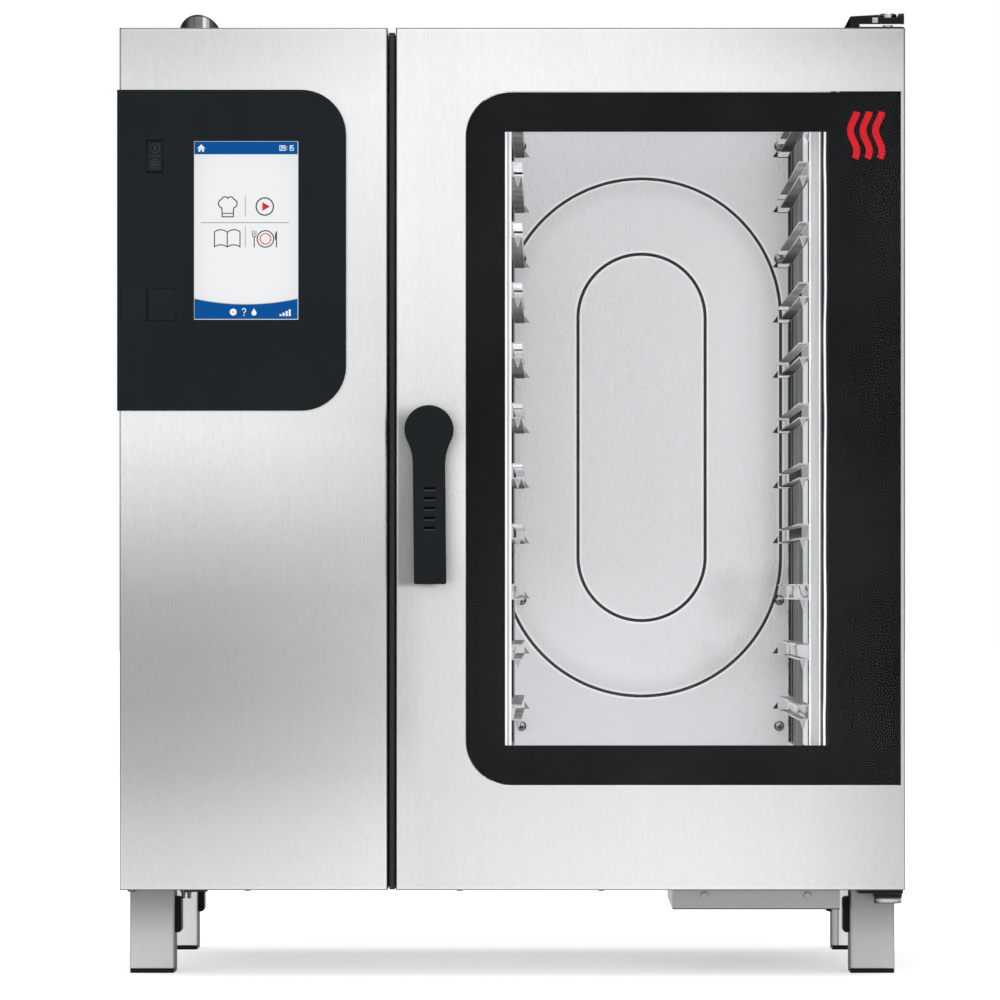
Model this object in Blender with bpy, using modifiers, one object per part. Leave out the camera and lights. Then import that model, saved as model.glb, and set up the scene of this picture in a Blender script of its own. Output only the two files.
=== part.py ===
"""Table-top combi steamer oven, ten shelf levels, built as separate sheet-metal,
glass and running parts. +Z is up, the front faces -Y, left is -X, and the origin
is at the floor under the middle of the cabinet.

All numbers are millimetres, scaled to metres when a mesh is written. Depths are
counted backwards from the door's front face. A span is a (low, high) pair; a box
is its x, depth and z spans. Cutters overrun the faces they open."""

import math

import bmesh
import bpy
from mathutils import Matrix, Vector

MM = 0.001


# ------------------------------------------------------------------- spans
def grown(span, by):
    """A span with both ends moved outwards, or inwards when by is negative."""
    return span[0] - by, span[1] + by


def offset(base, low, high):
    return base + low, base + high


def around(centre, half):
    return offset(centre, -half, half)


def mid(span):
    return (span[0] + span[1]) / 2


# ------------------------------------------------------- shared dimensions
FRONT = -366.0  # y of the door's front face, depth 0
Y0_D = -FRONT  # depth of y = 0
SHEET = 1.5  # sheet thickness
GAP = 0.4  # gap left between neighbouring pieces

HALF_W = 437.5  # half the cabinet's width
Z_BASE = 98.0  # underside of the cabinet
Z_TOP = 1058.0  # top of the cabinet
CABINET_Z = (Z_BASE, Z_TOP)
CAB_D = 64.0  # where the front frame stands
FRAME_T = 2.0
REAR_D = 770.0  # the rear panel's outer face
REAR_HOLE_D = offset(REAR_D, -12, 10)
STUB_D = 792.0  # where the water and drain stubs end

CHAMBER_X = (-133.0, 367.0)
CHAMBER_Z = (215.0, 1005.0)
CHAMBER_BACK_D = 700.0

FAN_D, FAN_Z = FAN = (382.0, 610.0)  # axis, on the chamber's left wall
BOILER = (-305, 570)  # x and depth of the steam generator's axis
STEAM_Z = 470  # where the steam pipe enters the chamber
DRAIN_X, DRAIN_IN_D = DRAIN = (167, 380)
DRAIN_Z = 145.0  # drain run under the chamber
VALVE_X, VALVE_Z = VALVE = (-372, 200)
EXHAUST = (-375.2, 400.0)  # x and depth
EXHAUST_R = 26.0

DOOR_X = (-129.8, HALF_W)
DOOR_BACK_D = 56.0
HINGE = (420.0, 30.0)  # hinge axis: x and depth
PIN_R = 6.0
PIN_HOLE_R = 6.5
HANDLE_X, HANDLE_Z = HANDLE = (-91.5, 609.0)
SPINDLE_HOLE_R = 6.2  # in the door


def y_of(depth):
    return FRONT + depth


# ------------------------------------------------------------------- scene
for old in list(bpy.data.objects):
    bpy.data.objects.remove(old, do_unlink=True)

PARTS = bpy.data.collections.new("combi_steamer_oven")
CUTTERS = bpy.data.collections.new("cutters")
bpy.context.scene.collection.children.link(PARTS)
bpy.context.scene.collection.children.link(CUTTERS)


def material(name, colour, roughness, metallic=0.0, alpha=1.0):
    mat = bpy.data.materials.new(name)
    mat.use_nodes = True
    shader = mat.node_tree.nodes["Principled BSDF"]
    shader.inputs["Base Color"].default_value = (*colour, 1.0)
    shader.inputs["Roughness"].default_value = roughness
    shader.inputs["Metallic"].default_value = metallic
    shader.inputs["Alpha"].default_value = alpha
    mat.diffuse_color = (*colour, alpha)
    return mat


def metal(name, colour, roughness):
    return material(name, colour, roughness, metallic=1.0)


STEEL = metal("brushed_stainless", colour=(0.66, 0.67, 0.68), roughness=0.34)
CHAMBER_STEEL = metal("chamber_stainless", colour=(0.60, 0.62, 0.64), roughness=0.28)
LEG_STEEL = metal("leg_stainless", colour=(0.55, 0.56, 0.57), roughness=0.36)
GALV = metal("galvanised_sheet", colour=(0.48, 0.50, 0.52), roughness=0.5)
CHROME = metal("polished_chrome", colour=(0.80, 0.80, 0.81), roughness=0.1)
BRASS = metal("brass", colour=(0.70, 0.52, 0.24), roughness=0.3)
DARK_METAL = material(
    "blackened_steel", colour=(0.03, 0.03, 0.033), roughness=0.42, metallic=0.6
)
MOTOR_PAINT = material(
    "motor_paint", colour=(0.10, 0.11, 0.12), roughness=0.45, metallic=0.3
)
BLACK_GLOSS = material("black_panel", colour=(0.018, 0.021, 0.024), roughness=0.28)
BLACK_PRINT = material("black_glass_print", colour=(0.012, 0.013, 0.014), roughness=0.12)
BLACK_PLASTIC = material("black_plastic", colour=(0.014, 0.017, 0.018), roughness=0.5)
GREY_TRIM = material("grey_trim", colour=(0.035, 0.04, 0.045), roughness=0.45)
GLASS = material("clear_glass", colour=(0.92, 0.95, 0.95), roughness=0.03, alpha=0.25)
RUBBER = material("black_silicone", colour=(0.02, 0.02, 0.021), roughness=0.7)
WOOL = material("mineral_wool", colour=(0.55, 0.50, 0.36), roughness=0.95)
BOARD = material("circuit_board", colour=(0.02, 0.13, 0.06), roughness=0.5)
DISPLAY = material("display_face", colour=(0.86, 0.89, 0.92), roughness=0.18)


# -------------------------------------------------------------- mesh tools
def block(x, depth, z, bm=None, turn=None):
    """A box from three spans, moved by the matrix turn when one is given."""
    bm = bm or bmesh.new()
    spans = (x, depth, z)
    size = [high - low for low, high in spans]
    middle = Vector((mid(x), y_of(mid(depth)), mid(z)))
    place = Matrix.Translation(middle) @ Matrix.Diagonal((*size, 1.0))
    bmesh.ops.create_cube(bm, size=1.0, matrix=turn @ place if turn else place)
    return bm


def blocks(boxes):
    """Several boxes in one bmesh."""
    bm = bmesh.new()
    for box in boxes:
        block(*box, bm)
    return bm


def round_edges(bm, along, radius, segments, where=lambda p: True):
    """Rounds the straight edges along one axis whose midpoints pass where."""
    axis = "XYZ".index(along)
    chosen = []
    for edge in bm.edges:
        start, end = (v.co for v in edge.verts)
        run = end - start
        if abs(run[axis]) > 0.999 * run.length and where((start + end) / 2):
            chosen.append(edge)
    bmesh.ops.bevel(
        bm,
        geom=chosen,
        offset=radius,
        offset_type="OFFSET",
        segments=segments,
        profile=0.5,
        affect="EDGES",
        clamp_overlap=True,
    )
    return bm


def before(depth):
    """Picks the edges in front of a depth."""
    return lambda p: p.y < y_of(depth)


def rod(axis, centre, span, radius, sides, bm=None, tip=None):
    """A cylinder along an axis, or a frustum when the far radius tip is given.
    centre holds the other two of x, depth and z, in that order."""
    bm = bm or bmesh.new()
    turn = {
        "X": Matrix.Rotation(math.pi / 2, 4, "Y"),
        "Y": Matrix.Rotation(-math.pi / 2, 4, "X"),
        "Z": Matrix.Identity(4),
    }[axis]
    middle = list(centre)
    middle.insert("XYZ".index(axis), mid(span))
    middle[1] = y_of(middle[1])
    bmesh.ops.create_cone(
        bm,
        cap_ends=True,
        cap_tris=False,
        segments=sides,
        radius1=radius,
        radius2=radius if tip is None else tip,
        depth=span[1] - span[0],
        matrix=Matrix.Translation(middle) @ turn,
    )
    return bm


def stadium(centre, radius, half, depth, arc):
    """A slab with a stadium outline, its straight sides upright; arc is the
    number of steps round each end."""
    bm = bmesh.new()
    x, z = centre
    ring = []
    for end in (1, -1):
        for step in range(arc + 1):
            angle = math.pi * step / arc
            ring.append((
                x + end * radius * math.cos(angle),
                y_of(depth[0]),
                z + end * (half + radius * math.sin(angle)),
            ))
    face = bm.faces.new([bm.verts.new(p) for p in ring])
    made = bmesh.ops.extrude_face_region(bm, geom=[face])["geom"]
    moved = [v for v in made if isinstance(v, bmesh.types.BMVert)]
    bmesh.ops.translate(bm, verts=moved, vec=(0.0, depth[1] - depth[0], 0.0))
    return bm


# ------------------------------------------------------------ object tools
ORIGIN = {}  # world position of each pivot


def pivot(name, x, depth, z, parent=None):
    """An empty on a joint's axis."""
    hub = bpy.data.objects.new(name, None)
    PARTS.objects.link(hub)
    hub.empty_display_size = 0.04
    ORIGIN[name] = Vector((x, y_of(depth), z))
    hub.location = (ORIGIN[name] - (ORIGIN[parent.name] if parent else Vector())) * MM
    hub.parent = parent
    return hub


def put(name, bm, collection, parent=None, tilt=None):
    """Writes a bmesh in world millimetres to an object, tilted about its parent."""
    if parent:
        bm.transform(Matrix.Translation(-ORIGIN[parent.name]))
    if tilt:
        bm.transform(tilt)
    bm.transform(Matrix.Scale(MM, 4))
    bmesh.ops.recalc_face_normals(bm, faces=bm.faces)
    mesh = bpy.data.meshes.new(name)
    bm.to_mesh(mesh)
    bm.free()
    made = bpy.data.objects.new(name, mesh)
    made.parent = parent
    collection.objects.link(made)
    return made


def part(name, bm, mat, parent=None, smooth=False, tilt=None):
    made = put(name, bm, PARTS, parent, tilt)
    made.data.materials.append(mat)
    if smooth:
        made.data.shade_smooth()
        made.data.set_sharp_from_angle(angle=math.radians(32))
    return made


def boolean(target, operation, name, bm):
    tool = put(f"{target.name}__{name}", bm, CUTTERS)
    tool.hide_render = True
    tool.display_type = "WIRE"
    step = target.modifiers.new(f"{operation.lower()}_{tool.name}", "BOOLEAN")
    step.operation = operation
    step.solver = "EXACT"
    step.object = tool


def cut(target, name, bm):
    boolean(target, "DIFFERENCE", name, bm)


def join(target, name, bm):
    boolean(target, "UNION", name, bm)


def tube(name, points, radius, mat, resolution=2, wall=None):
    """A bent rod, or a pipe when a wall is given, along a polyline of x, depth, z."""
    data = bpy.data.curves.new(name, "CURVE")
    data.dimensions = "3D"
    data.bevel_depth = radius * MM
    data.bevel_resolution = resolution
    data.use_fill_caps = wall is None
    line = data.splines.new("POLY")
    line.points.add(len(points) - 1)
    for spot, (x, depth, z) in zip(line.points, points):
        spot.co = (x * MM, y_of(depth) * MM, z * MM, 1.0)
    made = bpy.data.objects.new(name, data)
    data.materials.append(mat)
    PARTS.objects.link(made)
    if wall:
        skin = made.modifiers.new("wall", "SOLIDIFY")
        skin.thickness = wall * MM
        skin.offset = -1.0


def bent_run(start, corner, end, radius, steps=5):
    """Points of a pipe run with one rounded right-angled corner."""
    first, turning, last = (Vector(p) for p in (start, corner, end))
    into, out = (turning - first).normalized(), (last - turning).normalized()
    centre = turning - into * radius + out * radius
    points = [start]
    for step in range(steps + 1):
        angle = step * math.pi / 2 / steps
        spot = centre - out * radius * math.cos(angle) + into * radius * math.sin(angle)
        points.append(tuple(spot))
    return points + [end]


# ============================================================ CABINET SHELLS
SHELL_X = (-HALF_W, HALF_W)
SHELL_D = (66.5, REAR_D)
TRAY_RIM = 22.0  # height of the top cover's folded rim
WALL_Z = (Z_BASE, Z_TOP - TRAY_RIM - 0.5)  # side and rear panels
PAN_X = grown(SHELL_X, -(SHEET + GAP))  # between the side panels
PAN_D = (SHELL_D[0], REAR_D - SHEET - GAP)
PAN_H = 25
EDGE_R = 3.0  # folded edges
LOUVRE_D, LOUVRE_Z = 440, 150  # front lower corner of the first slot
LOUVRE_SIZE = (80, 6)
LOUVRE_PITCH = (95, 20)
VENT_X = (-400, -250)
VENT_Z, VENT_H, VENT_PITCH = 780, 8, 22

# Base pan, open at the top
base = part("base_pan", block(PAN_X, PAN_D, offset(Z_BASE, 0, PAN_H)), GALV)
cut(base, "hollow", block(grown(PAN_X, -SHEET), grown(PAN_D, -SHEET), offset(Z_BASE, SHEET, 60)))

left_panel = part(
    "side_panel_left", block(offset(-HALF_W, 0, SHEET), SHELL_D, WALL_Z), STEEL
)
slots = bmesh.new()
for column in range(3):
    for row in range(8):
        slot_d = offset(LOUVRE_D + LOUVRE_PITCH[0] * column, 0, LOUVRE_SIZE[0])
        slot_z = offset(LOUVRE_Z + LOUVRE_PITCH[1] * row, 0, LOUVRE_SIZE[1])
        block(offset(-HALF_W, -5, 8), slot_d, slot_z, slots)
cut(left_panel, "louvres", slots)

part("side_panel_right", block(offset(HALF_W, -SHEET, 0), SHELL_D, WALL_Z), STEEL)

# Rear panel: drain and water openings, then six slots
rear = part("rear_panel", block(PAN_X, offset(REAR_D, -SHEET, 0), WALL_Z), GALV)
holes = rod("Y", (DRAIN_X, DRAIN_Z), REAR_HOLE_D, 21.0, 24)
rod("Y", VALVE, REAR_HOLE_D, 14.0, 24, holes)
for row in range(6):
    block(VENT_X, REAR_HOLE_D, offset(VENT_Z + VENT_PITCH * row, 0, VENT_H), holes)
cut(rear, "openings", holes)

# Top cover, a tray open at the bottom
top_bm = block(SHELL_X, SHELL_D, offset(Z_TOP, -TRAY_RIM, 0))
round_edges(top_bm, "Y", EDGE_R, 3, lambda p: p.z > Z_TOP - 1)
top = part("top_cover", top_bm, STEEL, smooth=True)
top_hollow_z = offset(Z_TOP, -TRAY_RIM - 30, -SHEET)
cut(top, "hollow", block(grown(SHELL_X, -SHEET), grown(SHELL_D, -SHEET), top_hollow_z))
cut(top, "exhaust_hole", rod("Z", EXHAUST, around(Z_TOP, 15), EXHAUST_R + 0.6, 32))


def hollow_front(target, x):
    """Opens a front skin from behind."""
    cut(target, "hollow", block(grown(x, -SHEET), (SHEET, 110), grown(CABINET_Z, -SHEET)))


# Cover in front of the left compartment
COVER_X = (-HALF_W, -138.9)
cover_bm = block(COVER_X, (0, 66), CABINET_Z)
round_edges(cover_bm, "Z", EDGE_R, 3, before(1))
round_edges(cover_bm, "X", 1.2, 2, before(1))
cover = part("front_cover", cover_bm, STEEL, smooth=True)
hollow_front(cover, COVER_X)
cut(cover, "panel_hole", block((-425, -205), (-20, 12), (650, 970)))

# Strip between the cover and the door
trim_bm = block((-137.5, -131.2), (12, 63.5), (Z_BASE, Z_TOP - 4))
part("gap_trim", round_edges(trim_bm, "Z", 1.0, 2, before(14)), GREY_TRIM, smooth=True)

# Front frame; the fan space lies left of its mouth
MOUTH_X = (-33.0, CHAMBER_X[1])
frame = part(
    "chamber_front_frame", block(DOOR_X, offset(CAB_D, 0, FRAME_T), CABINET_Z), STEEL
)
mouth = block(MOUTH_X, around(CAB_D, 15), CHAMBER_Z)
cut(frame, "mouth", round_edges(mouth, "Y", 20.0, 5))

# =================================================================== CHAMBER
EMBOSS = (156.4, 623.9)  # x and z of the stadium pressed into the back wall
EMBOSS_R_OUT, EMBOSS_R_IN = 174.4, 79.7
EMBOSS_HALF = 150.0  # half length of its straight sides
GROOVE_HALF = 3.6 / 2
COIL_R = 190.0
COIL_ANGLE = math.radians(-45)  # where the coil starts


def around_fan(radius, angle):
    """Depth and z of a point at a radius and angle round the fan's axis."""
    return FAN_D + radius * math.cos(angle), FAN_Z + radius * math.sin(angle)


COIL_IN = around_fan(COIL_R, COIL_ANGLE)
COIL_OUT = around_fan(COIL_R + 12, COIL_ANGLE + math.radians(10))


def wall_holes(x, shaft_r, coil_r, steam_r):
    """Holes in the chamber's left wall for the shaft, coil ends and steam pipe."""
    bm = rod("X", FAN, x, shaft_r, 24)
    rod("X", COIL_IN, x, coil_r, 12, bm)
    rod("X", COIL_OUT, x, coil_r, 12, bm)
    rod("X", (BOILER[1], STEAM_Z), x, steam_r, 16, bm)
    return bm


chamber = part(
    "chamber",
    block(
        grown(CHAMBER_X, SHEET),
        (CAB_D + FRAME_T + GAP, CHAMBER_BACK_D + SHEET),
        grown(CHAMBER_Z, SHEET),
    ),
    CHAMBER_STEEL,
    smooth=True,
)
inside = block(CHAMBER_X, (CAB_D - 60, CHAMBER_BACK_D), CHAMBER_Z)
cut(chamber, "inside", round_edges(inside, "Y", 18.0, 4))


def pressing(radius, low, high, arc):
    return stadium(EMBOSS, radius, EMBOSS_HALF, offset(CHAMBER_BACK_D, low, high), arc)


join(chamber, "pressed_panel", pressing(EMBOSS_R_OUT - GROOVE_HALF, -4.0, 0.8, 24))
cut(chamber, "pressed_groove", pressing(EMBOSS_R_IN + GROOVE_HALF, -12.0, -0.6, 20))
join(chamber, "pressed_island", pressing(EMBOSS_R_IN - GROOVE_HALF, -4.0, 0.4, 20))
cut(chamber, "wall_holes", wall_holes(offset(CHAMBER_X[0], -12, 10), 14, 5.5, 11))
cut(chamber, "drain_hole", rod("Z", DRAIN, offset(CHAMBER_Z[0], -12, 10), 17, 24))

# Insulation round the chamber
WOOL_CLEARANCE = 2
wool = part("insulation", block((-163, 409), (68.5, 742), (178, Z_TOP - 24)), WOOL)
chamber_space = block(
    grown(CHAMBER_X, WOOL_CLEARANCE),
    (40, CHAMBER_BACK_D + WOOL_CLEARANCE),
    grown(CHAMBER_Z, WOOL_CLEARANCE),
)
cut(wool, "chamber_space", chamber_space)
cut(wool, "wall_holes", wall_holes((-180, -120), 22, 7, 14))
cut(wool, "drain_hole", rod("Z", DRAIN, (150, 225), 24, 24))

# Door gasket, a rounded rectangular ring
GASKET_X, GASKET_Z = (-51, 385), (197, 1023)
GASKET_W = 14
gasket_bm = block(GASKET_X, (57, CAB_D - GAP), GASKET_Z)
gasket = part("door_gasket", round_edges(gasket_bm, "Y", 30.0, 5), RUBBER, smooth=True)
gasket_mouth = block(grown(GASKET_X, -GASKET_W), (20, 100), grown(GASKET_Z, -GASKET_W))
cut(gasket, "mouth", round_edges(gasket_mouth, "Y", 22.0, 5))
lip = gasket.modifiers.new("soft_lip", "BEVEL")
lip.width = 2.0 * MM
lip.segments = 2
lip.limit_method = "ANGLE"
lip.angle_limit = math.radians(60)

# Suction panel, a tray open towards the fan
SUCTION_X, SUCTION_D, SUCTION_Z = (-47.5, -34.0), (86, 684), (232, 988)
GRILLE_R, GRILLE_PITCH, GRILLE_SLOT_HALF = 105.0, 22, 6
suction = part("suction_panel", block(SUCTION_X, SUCTION_D, SUCTION_Z), CHAMBER_STEEL)
suction_hollow_x = (-90, SUCTION_X[1] - SHEET)
cut(suction, "hollow", block(suction_hollow_x, grown(SUCTION_D, -SHEET), grown(SUCTION_Z, -SHEET)))
grille = bmesh.new()
for row in range(-4, 5):
    rise = GRILLE_PITCH * row
    reach = math.sqrt(GRILLE_R**2 - rise**2)
    block((-60, -20), around(FAN_D, reach), around(FAN_Z + rise, GRILLE_SLOT_HALF), grille)
cut(suction, "grille", grille)

# ------------------------------------------------------------ hanging racks
# Ten shelf levels between eleven pairs of rails
RAIL_TOP, RAIL_PITCH, RAIL_COUNT = 987.0, 68.5, 11
RAIL_H = 17.6
RAIL_D = (105.0, 640.0)
RAIL_FLANGE = 12.0
RAIL_ROOT = 1.8  # how far a rail sinks into the frame
POST = 13.6  # frame width in x
RACK_BAR = 10  # frame width in depth and z
RACK_D, RACK_Z = (110, 620), (235.0, 998.0)


def rack(name, face, inward):
    """A tall frame with U rails on its inner face, at x = face; inward is the
    x direction of the chamber's middle, which the rails open towards."""

    def across(low, high):
        return sorted((face + inward * low, face + inward * high))

    post_x = across(-POST, 0)
    made = part(name, block(post_x, RACK_D, RACK_Z), CHAMBER_STEEL)
    window = block(grown(post_x, 20), grown(RACK_D, -RACK_BAR), grown(RACK_Z, -RACK_BAR))
    cut(made, "frame_window", window)
    rails, channels = bmesh.new(), bmesh.new()
    for level in range(RAIL_COUNT):
        rail_z = offset(RAIL_TOP - RAIL_PITCH * level, -RAIL_H, 0)
        block(across(-RAIL_ROOT, RAIL_FLANGE), RAIL_D, rail_z, rails)
        channel_x = across(SHEET, RAIL_FLANGE + 15)
        block(channel_x, grown(RAIL_D, 20), grown(rail_z, -SHEET), channels)
    join(made, "rails", rails)
    cut(made, "rail_channels", channels)


rack("rack_left", -1.9, 1)
rack("rack_right", 336.3, -1)

# ------------------------------------------------------------ heater and fan
COIL_TURNS, COIL_STEPS = 2, 28  # steps per turn
COIL_X, COIL_ADVANCE = -114.0, 40.0
COIL_END_X = -160.0  # both ends, left of the chamber wall

coil = [(COIL_END_X, *COIL_IN)]
for step in range(COIL_TURNS * COIL_STEPS + 1):
    angle = COIL_ANGLE + 2 * math.pi * step / COIL_STEPS
    x = COIL_X + COIL_ADVANCE * step / (COIL_TURNS * COIL_STEPS)
    coil.append((x, *around_fan(COIL_R, angle)))
coil += [(-73.0, *COIL_OUT), (COIL_END_X, *COIL_OUT)]
tube("heating_coil", coil, 4.0, DARK_METAL)

FLANGE_HALF = 75
motor = part("fan_motor", rod("X", FAN, (-290, -170), 62, 32), MOTOR_PAINT, smooth=True)
flange = block((-174, -163.5), around(FAN_D, FLANGE_HALF), around(FAN_Z, FLANGE_HALF))
join(motor, "mounting_flange", round_edges(flange, "X", 12.0, 3))
cut(motor, "shaft_bore", rod("X", FAN, (-340, -100), 8.6, 24))

FAN_R = 155.0
BLADES = 10
BLADE_X = (-117.5, -54.5)
BLADE_R = (95, 151)  # inner and outer reach before the blade is pitched
BLADE_HALF_T = 1.2
BLADE_PITCH = math.radians(35)

fan_axis = pivot("fan_axis", -84, *FAN)
shaft_bm = rod("X", FAN, (-300, -62), 8.0, 24)
part("motor_shaft", shaft_bm, CHROME, parent=fan_axis, smooth=True)
wheel = part("fan_wheel", rod("X", FAN, (-120, -116), FAN_R, 40), GALV, parent=fan_axis)
join(wheel, "hub", rod("X", FAN, (-119, -70), 24, 24))
blades = bmesh.new()
blade_half_w = (BLADE_R[1] - BLADE_R[0]) / 2
for k in range(BLADES):
    spin = (
        Matrix.Translation((0, y_of(FAN_D), FAN_Z))
        @ Matrix.Rotation(math.radians(360 / BLADES * k), 4, "X")
        @ Matrix.Translation((0, mid(BLADE_R), 0))
        @ Matrix.Rotation(BLADE_PITCH, 4, "X")
    )
    block(BLADE_X, around(Y0_D, blade_half_w), around(0, BLADE_HALF_T), blades, spin)
join(wheel, "blades", blades)
join(wheel, "front_ring", rod("X", FAN, (-56.5, -53), FAN_R, 40))
cut(wheel, "eye", rod("X", FAN, (-68, -30), 104, 32))
cut(wheel, "bore", rod("X", FAN, (-150, -40), 8.5, 24))

# ============================================== WATER, STEAM AND EXHAUST
BOILER_R = 95
BOILER_TOP = 425  # top of the dome
PIPE_WALL = 1.5

boiler_bm = rod("Z", BOILER, (140, 400), BOILER_R, 36)
boiler = part("steam_generator", boiler_bm, CHAMBER_STEEL, smooth=True)
join(boiler, "dome", rod("Z", BOILER, (399, BOILER_TOP), BOILER_R, 36, tip=60))
join(boiler, "heater_flange", rod("Z", BOILER, (127, 141), 104, 36))
cut(boiler, "tank_space", rod("Z", BOILER, (143, 398), 92.5, 32))
cut(boiler, "steam_port", rod("Z", BOILER, (390, 440), 8.5, 16))

steam = bent_run(
    (*BOILER, BOILER_TOP + 1), (*BOILER, STEAM_Z), (-128, BOILER[1], STEAM_Z), radius=28
)
tube("steam_pipe", steam, 10.0, CHAMBER_STEEL, wall=PIPE_WALL)

drain = bent_run(
    (*DRAIN, CHAMBER_Z[0] - 2), (*DRAIN, DRAIN_Z), (DRAIN_X, STUB_D, DRAIN_Z), radius=23
)
tube("drain_pipe", drain, 20.0, CHAMBER_STEEL, resolution=4, wall=PIPE_WALL)

valve = part("water_valve", rod("Y", VALVE, (700, STUB_D), 13.2, 24), BRASS, smooth=True)
join(valve, "body", block(around(VALVE_X, 20), (690, 735), around(VALVE_Z, 18)))
join(valve, "solenoid", rod("Z", (VALVE_X, 712), (210, 262), 16, 20))

# Exhaust pipe, its mouth cut on a slope that falls to the rear
MOUTH_MID_Z = 1091.9
MOUTH_NORMAL = Vector((0.08, 0.94, 1.0))
exhaust_bm = rod("Z", EXHAUST, (1005, 1124), EXHAUST_R, 40)
exhaust = part("exhaust_pipe", exhaust_bm, STEEL, smooth=True)
cut(exhaust, "bore", rod("Z", EXHAUST, (990, 1140), EXHAUST_R - 1.6, 40))
lean = (
    Matrix.Translation((EXHAUST[0], y_of(EXHAUST[1]), MOUTH_MID_Z))
    @ Vector((0, 0, 1)).rotation_difference(MOUTH_NORMAL).to_matrix().to_4x4()
)
cut(exhaust, "slanted_mouth", block(around(0, 60), around(Y0_D, 60), (0, 90), turn=lean))

# =============================================================== ELECTRONICS
# Power module, a box open at the front
MODULE_X, MODULE_D, MODULE_Z = (-425, -215), (120, 290), (700, 960)
MODULE_WALL = 2
CONTACTORS = (  # x, depth, z
    ((-410, -230), (240, 289), (850, 930)),
    ((-400, -240), (262, 289), (730, 760)),
)
module_bm = block(MODULE_X, MODULE_D, MODULE_Z)
module = part("power_module", round_edges(module_bm, "Y", 4.0, 2), GALV)
module_space = block(
    grown(MODULE_X, -MODULE_WALL),
    (60, MODULE_D[1] - MODULE_WALL),
    grown(MODULE_Z, -MODULE_WALL),
)
cut(module, "inside", module_space)
join(module, "contactor_rows", blocks(CONTACTORS))

COMPONENTS = (  # x, depth, z, on the board's rear face
    ((-340, -300), (25.5, 34), (820, 860)),
    ((-390, -360), (25.5, 38), (680, 720)),
    ((-280, -230), (25.5, 32), (690, 730)),
)
board = part("control_board", block((-415, -210), (24, 26), (660, 962)), BOARD)
join(board, "components", blocks(COMPONENTS))

# ============================================================= CONTROL PANEL
PANEL_X, PANEL_Z = (-439.7, -185.0), (631.7, 988.8)
PANEL_PROUD = 4.0
PANEL_R = 50.0  # the two right-hand corners
PANEL_HOLE_D = (-20, 10)
SCREEN_X, SCREEN_Z = (-353.9, -238.5), (733.4, 931.4)
ROCKER_X, ROCKER_Z = (-406.7, -389.3), (897.6, 932.0)
ROCKER_TILT = math.radians(5.0)
USB_X, USB_Z = (-405.0, -374.4), (732.2, 767.4)
USB_SIDE_X, USB_SIDE_Z = (-435.0, -407.6), (731.4, 769.2)

bezel_bm = block(PANEL_X, (-PANEL_PROUD, -GAP), PANEL_Z)
round_edges(bezel_bm, "Y", PANEL_R, 12, lambda p: p.x > PANEL_X[1] - 1)
bezel = part("control_panel_bezel", bezel_bm, BLACK_GLOSS, smooth=True)
# The lip wraps round the cabinet's left side
lip_x = (PANEL_X[0], -HALF_W - GAP)
join(bezel, "side_lip", block(lip_x, (-PANEL_PROUD + 0.4, 38), grown(PANEL_Z, -0.2)))
for name, x, depth, z in (
    ("screen_hole", grown(SCREEN_X, GAP), PANEL_HOLE_D, grown(SCREEN_Z, GAP)),
    ("rocker_hole", grown(ROCKER_X, 0.5), PANEL_HOLE_D, grown(ROCKER_Z, 0.8)),
    ("usb_hole", (USB_X[0] - 1.0, USB_X[1] + 0.5), PANEL_HOLE_D, grown(USB_Z, 0.5)),
    ("usb_side_pocket", grown(USB_SIDE_X, GAP), (-20, -1.5), grown(USB_SIDE_Z, GAP)),
):
    cut(bezel, name, block(x, depth, z))

part("usb_side_cover", block(USB_SIDE_X, (-3.9, -1.9), USB_SIDE_Z), BLACK_PLASTIC)
part("touch_display", block(SCREEN_X, (-3.8, 14), SCREEN_Z), DISPLAY)
socket_bm = block(around(mid(USB_X), 8), (1, 20), around(mid(USB_Z), 9))
socket = part("usb_socket", socket_bm, CHROME)
cut(socket, "port", block(around(mid(USB_X), 3), (-8, 14), around(mid(USB_Z), 6.5)))

# Rocker switch, resting with its upper half pressed in
part(
    "power_rocker",
    block(ROCKER_X, (-4.2, 6), ROCKER_Z),
    BLACK_PLASTIC,
    parent=pivot("rocker_axis", mid(ROCKER_X), 0, mid(ROCKER_Z)),
    tilt=Matrix.Rotation(-ROCKER_TILT, 4, "X"),
)

# Flap over the data socket, hinged at its left edge, which is rounded behind
flap_bm = block(USB_X, (-3.9, -2.3), USB_Z)
round_edges(flap_bm, "Z", 0.7, 2, lambda p: p.x < USB_X[0] + 1 and p.y > y_of(-3))
flap_axis = pivot("usb_flap_axis", USB_X[0] + 0.6, -3.4, mid(USB_Z))
part("usb_flap", flap_bm, BLACK_PLASTIC, parent=flap_axis)

# ================================================================ UNDERNEATH
drain_box = part("drain_box", block((180, 368.5), (68, 322), (72.2, Z_BASE - GAP)), GALV)
screws = bmesh.new()
for x in (216, 332):
    rod("Y", (x, 88), (64.5, 70), 4.0, 12, screws)
join(drain_box, "screw_heads", screws)

LEG = 50.0  # side of the square leg
LEG_WALL = 2
LEG_CORNER_R = 2.5
FOOT_H = 5.0
FOOT_INSET = 0.3
CLIP_T = 7.2
LEG_ENDS = (("front", 76.0), ("rear", 440.0))  # name, front depth
LEG_SIDES = (("left", -432.4, 1), ("right", 380.9, -1))  # name, left x, way inwards


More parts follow.
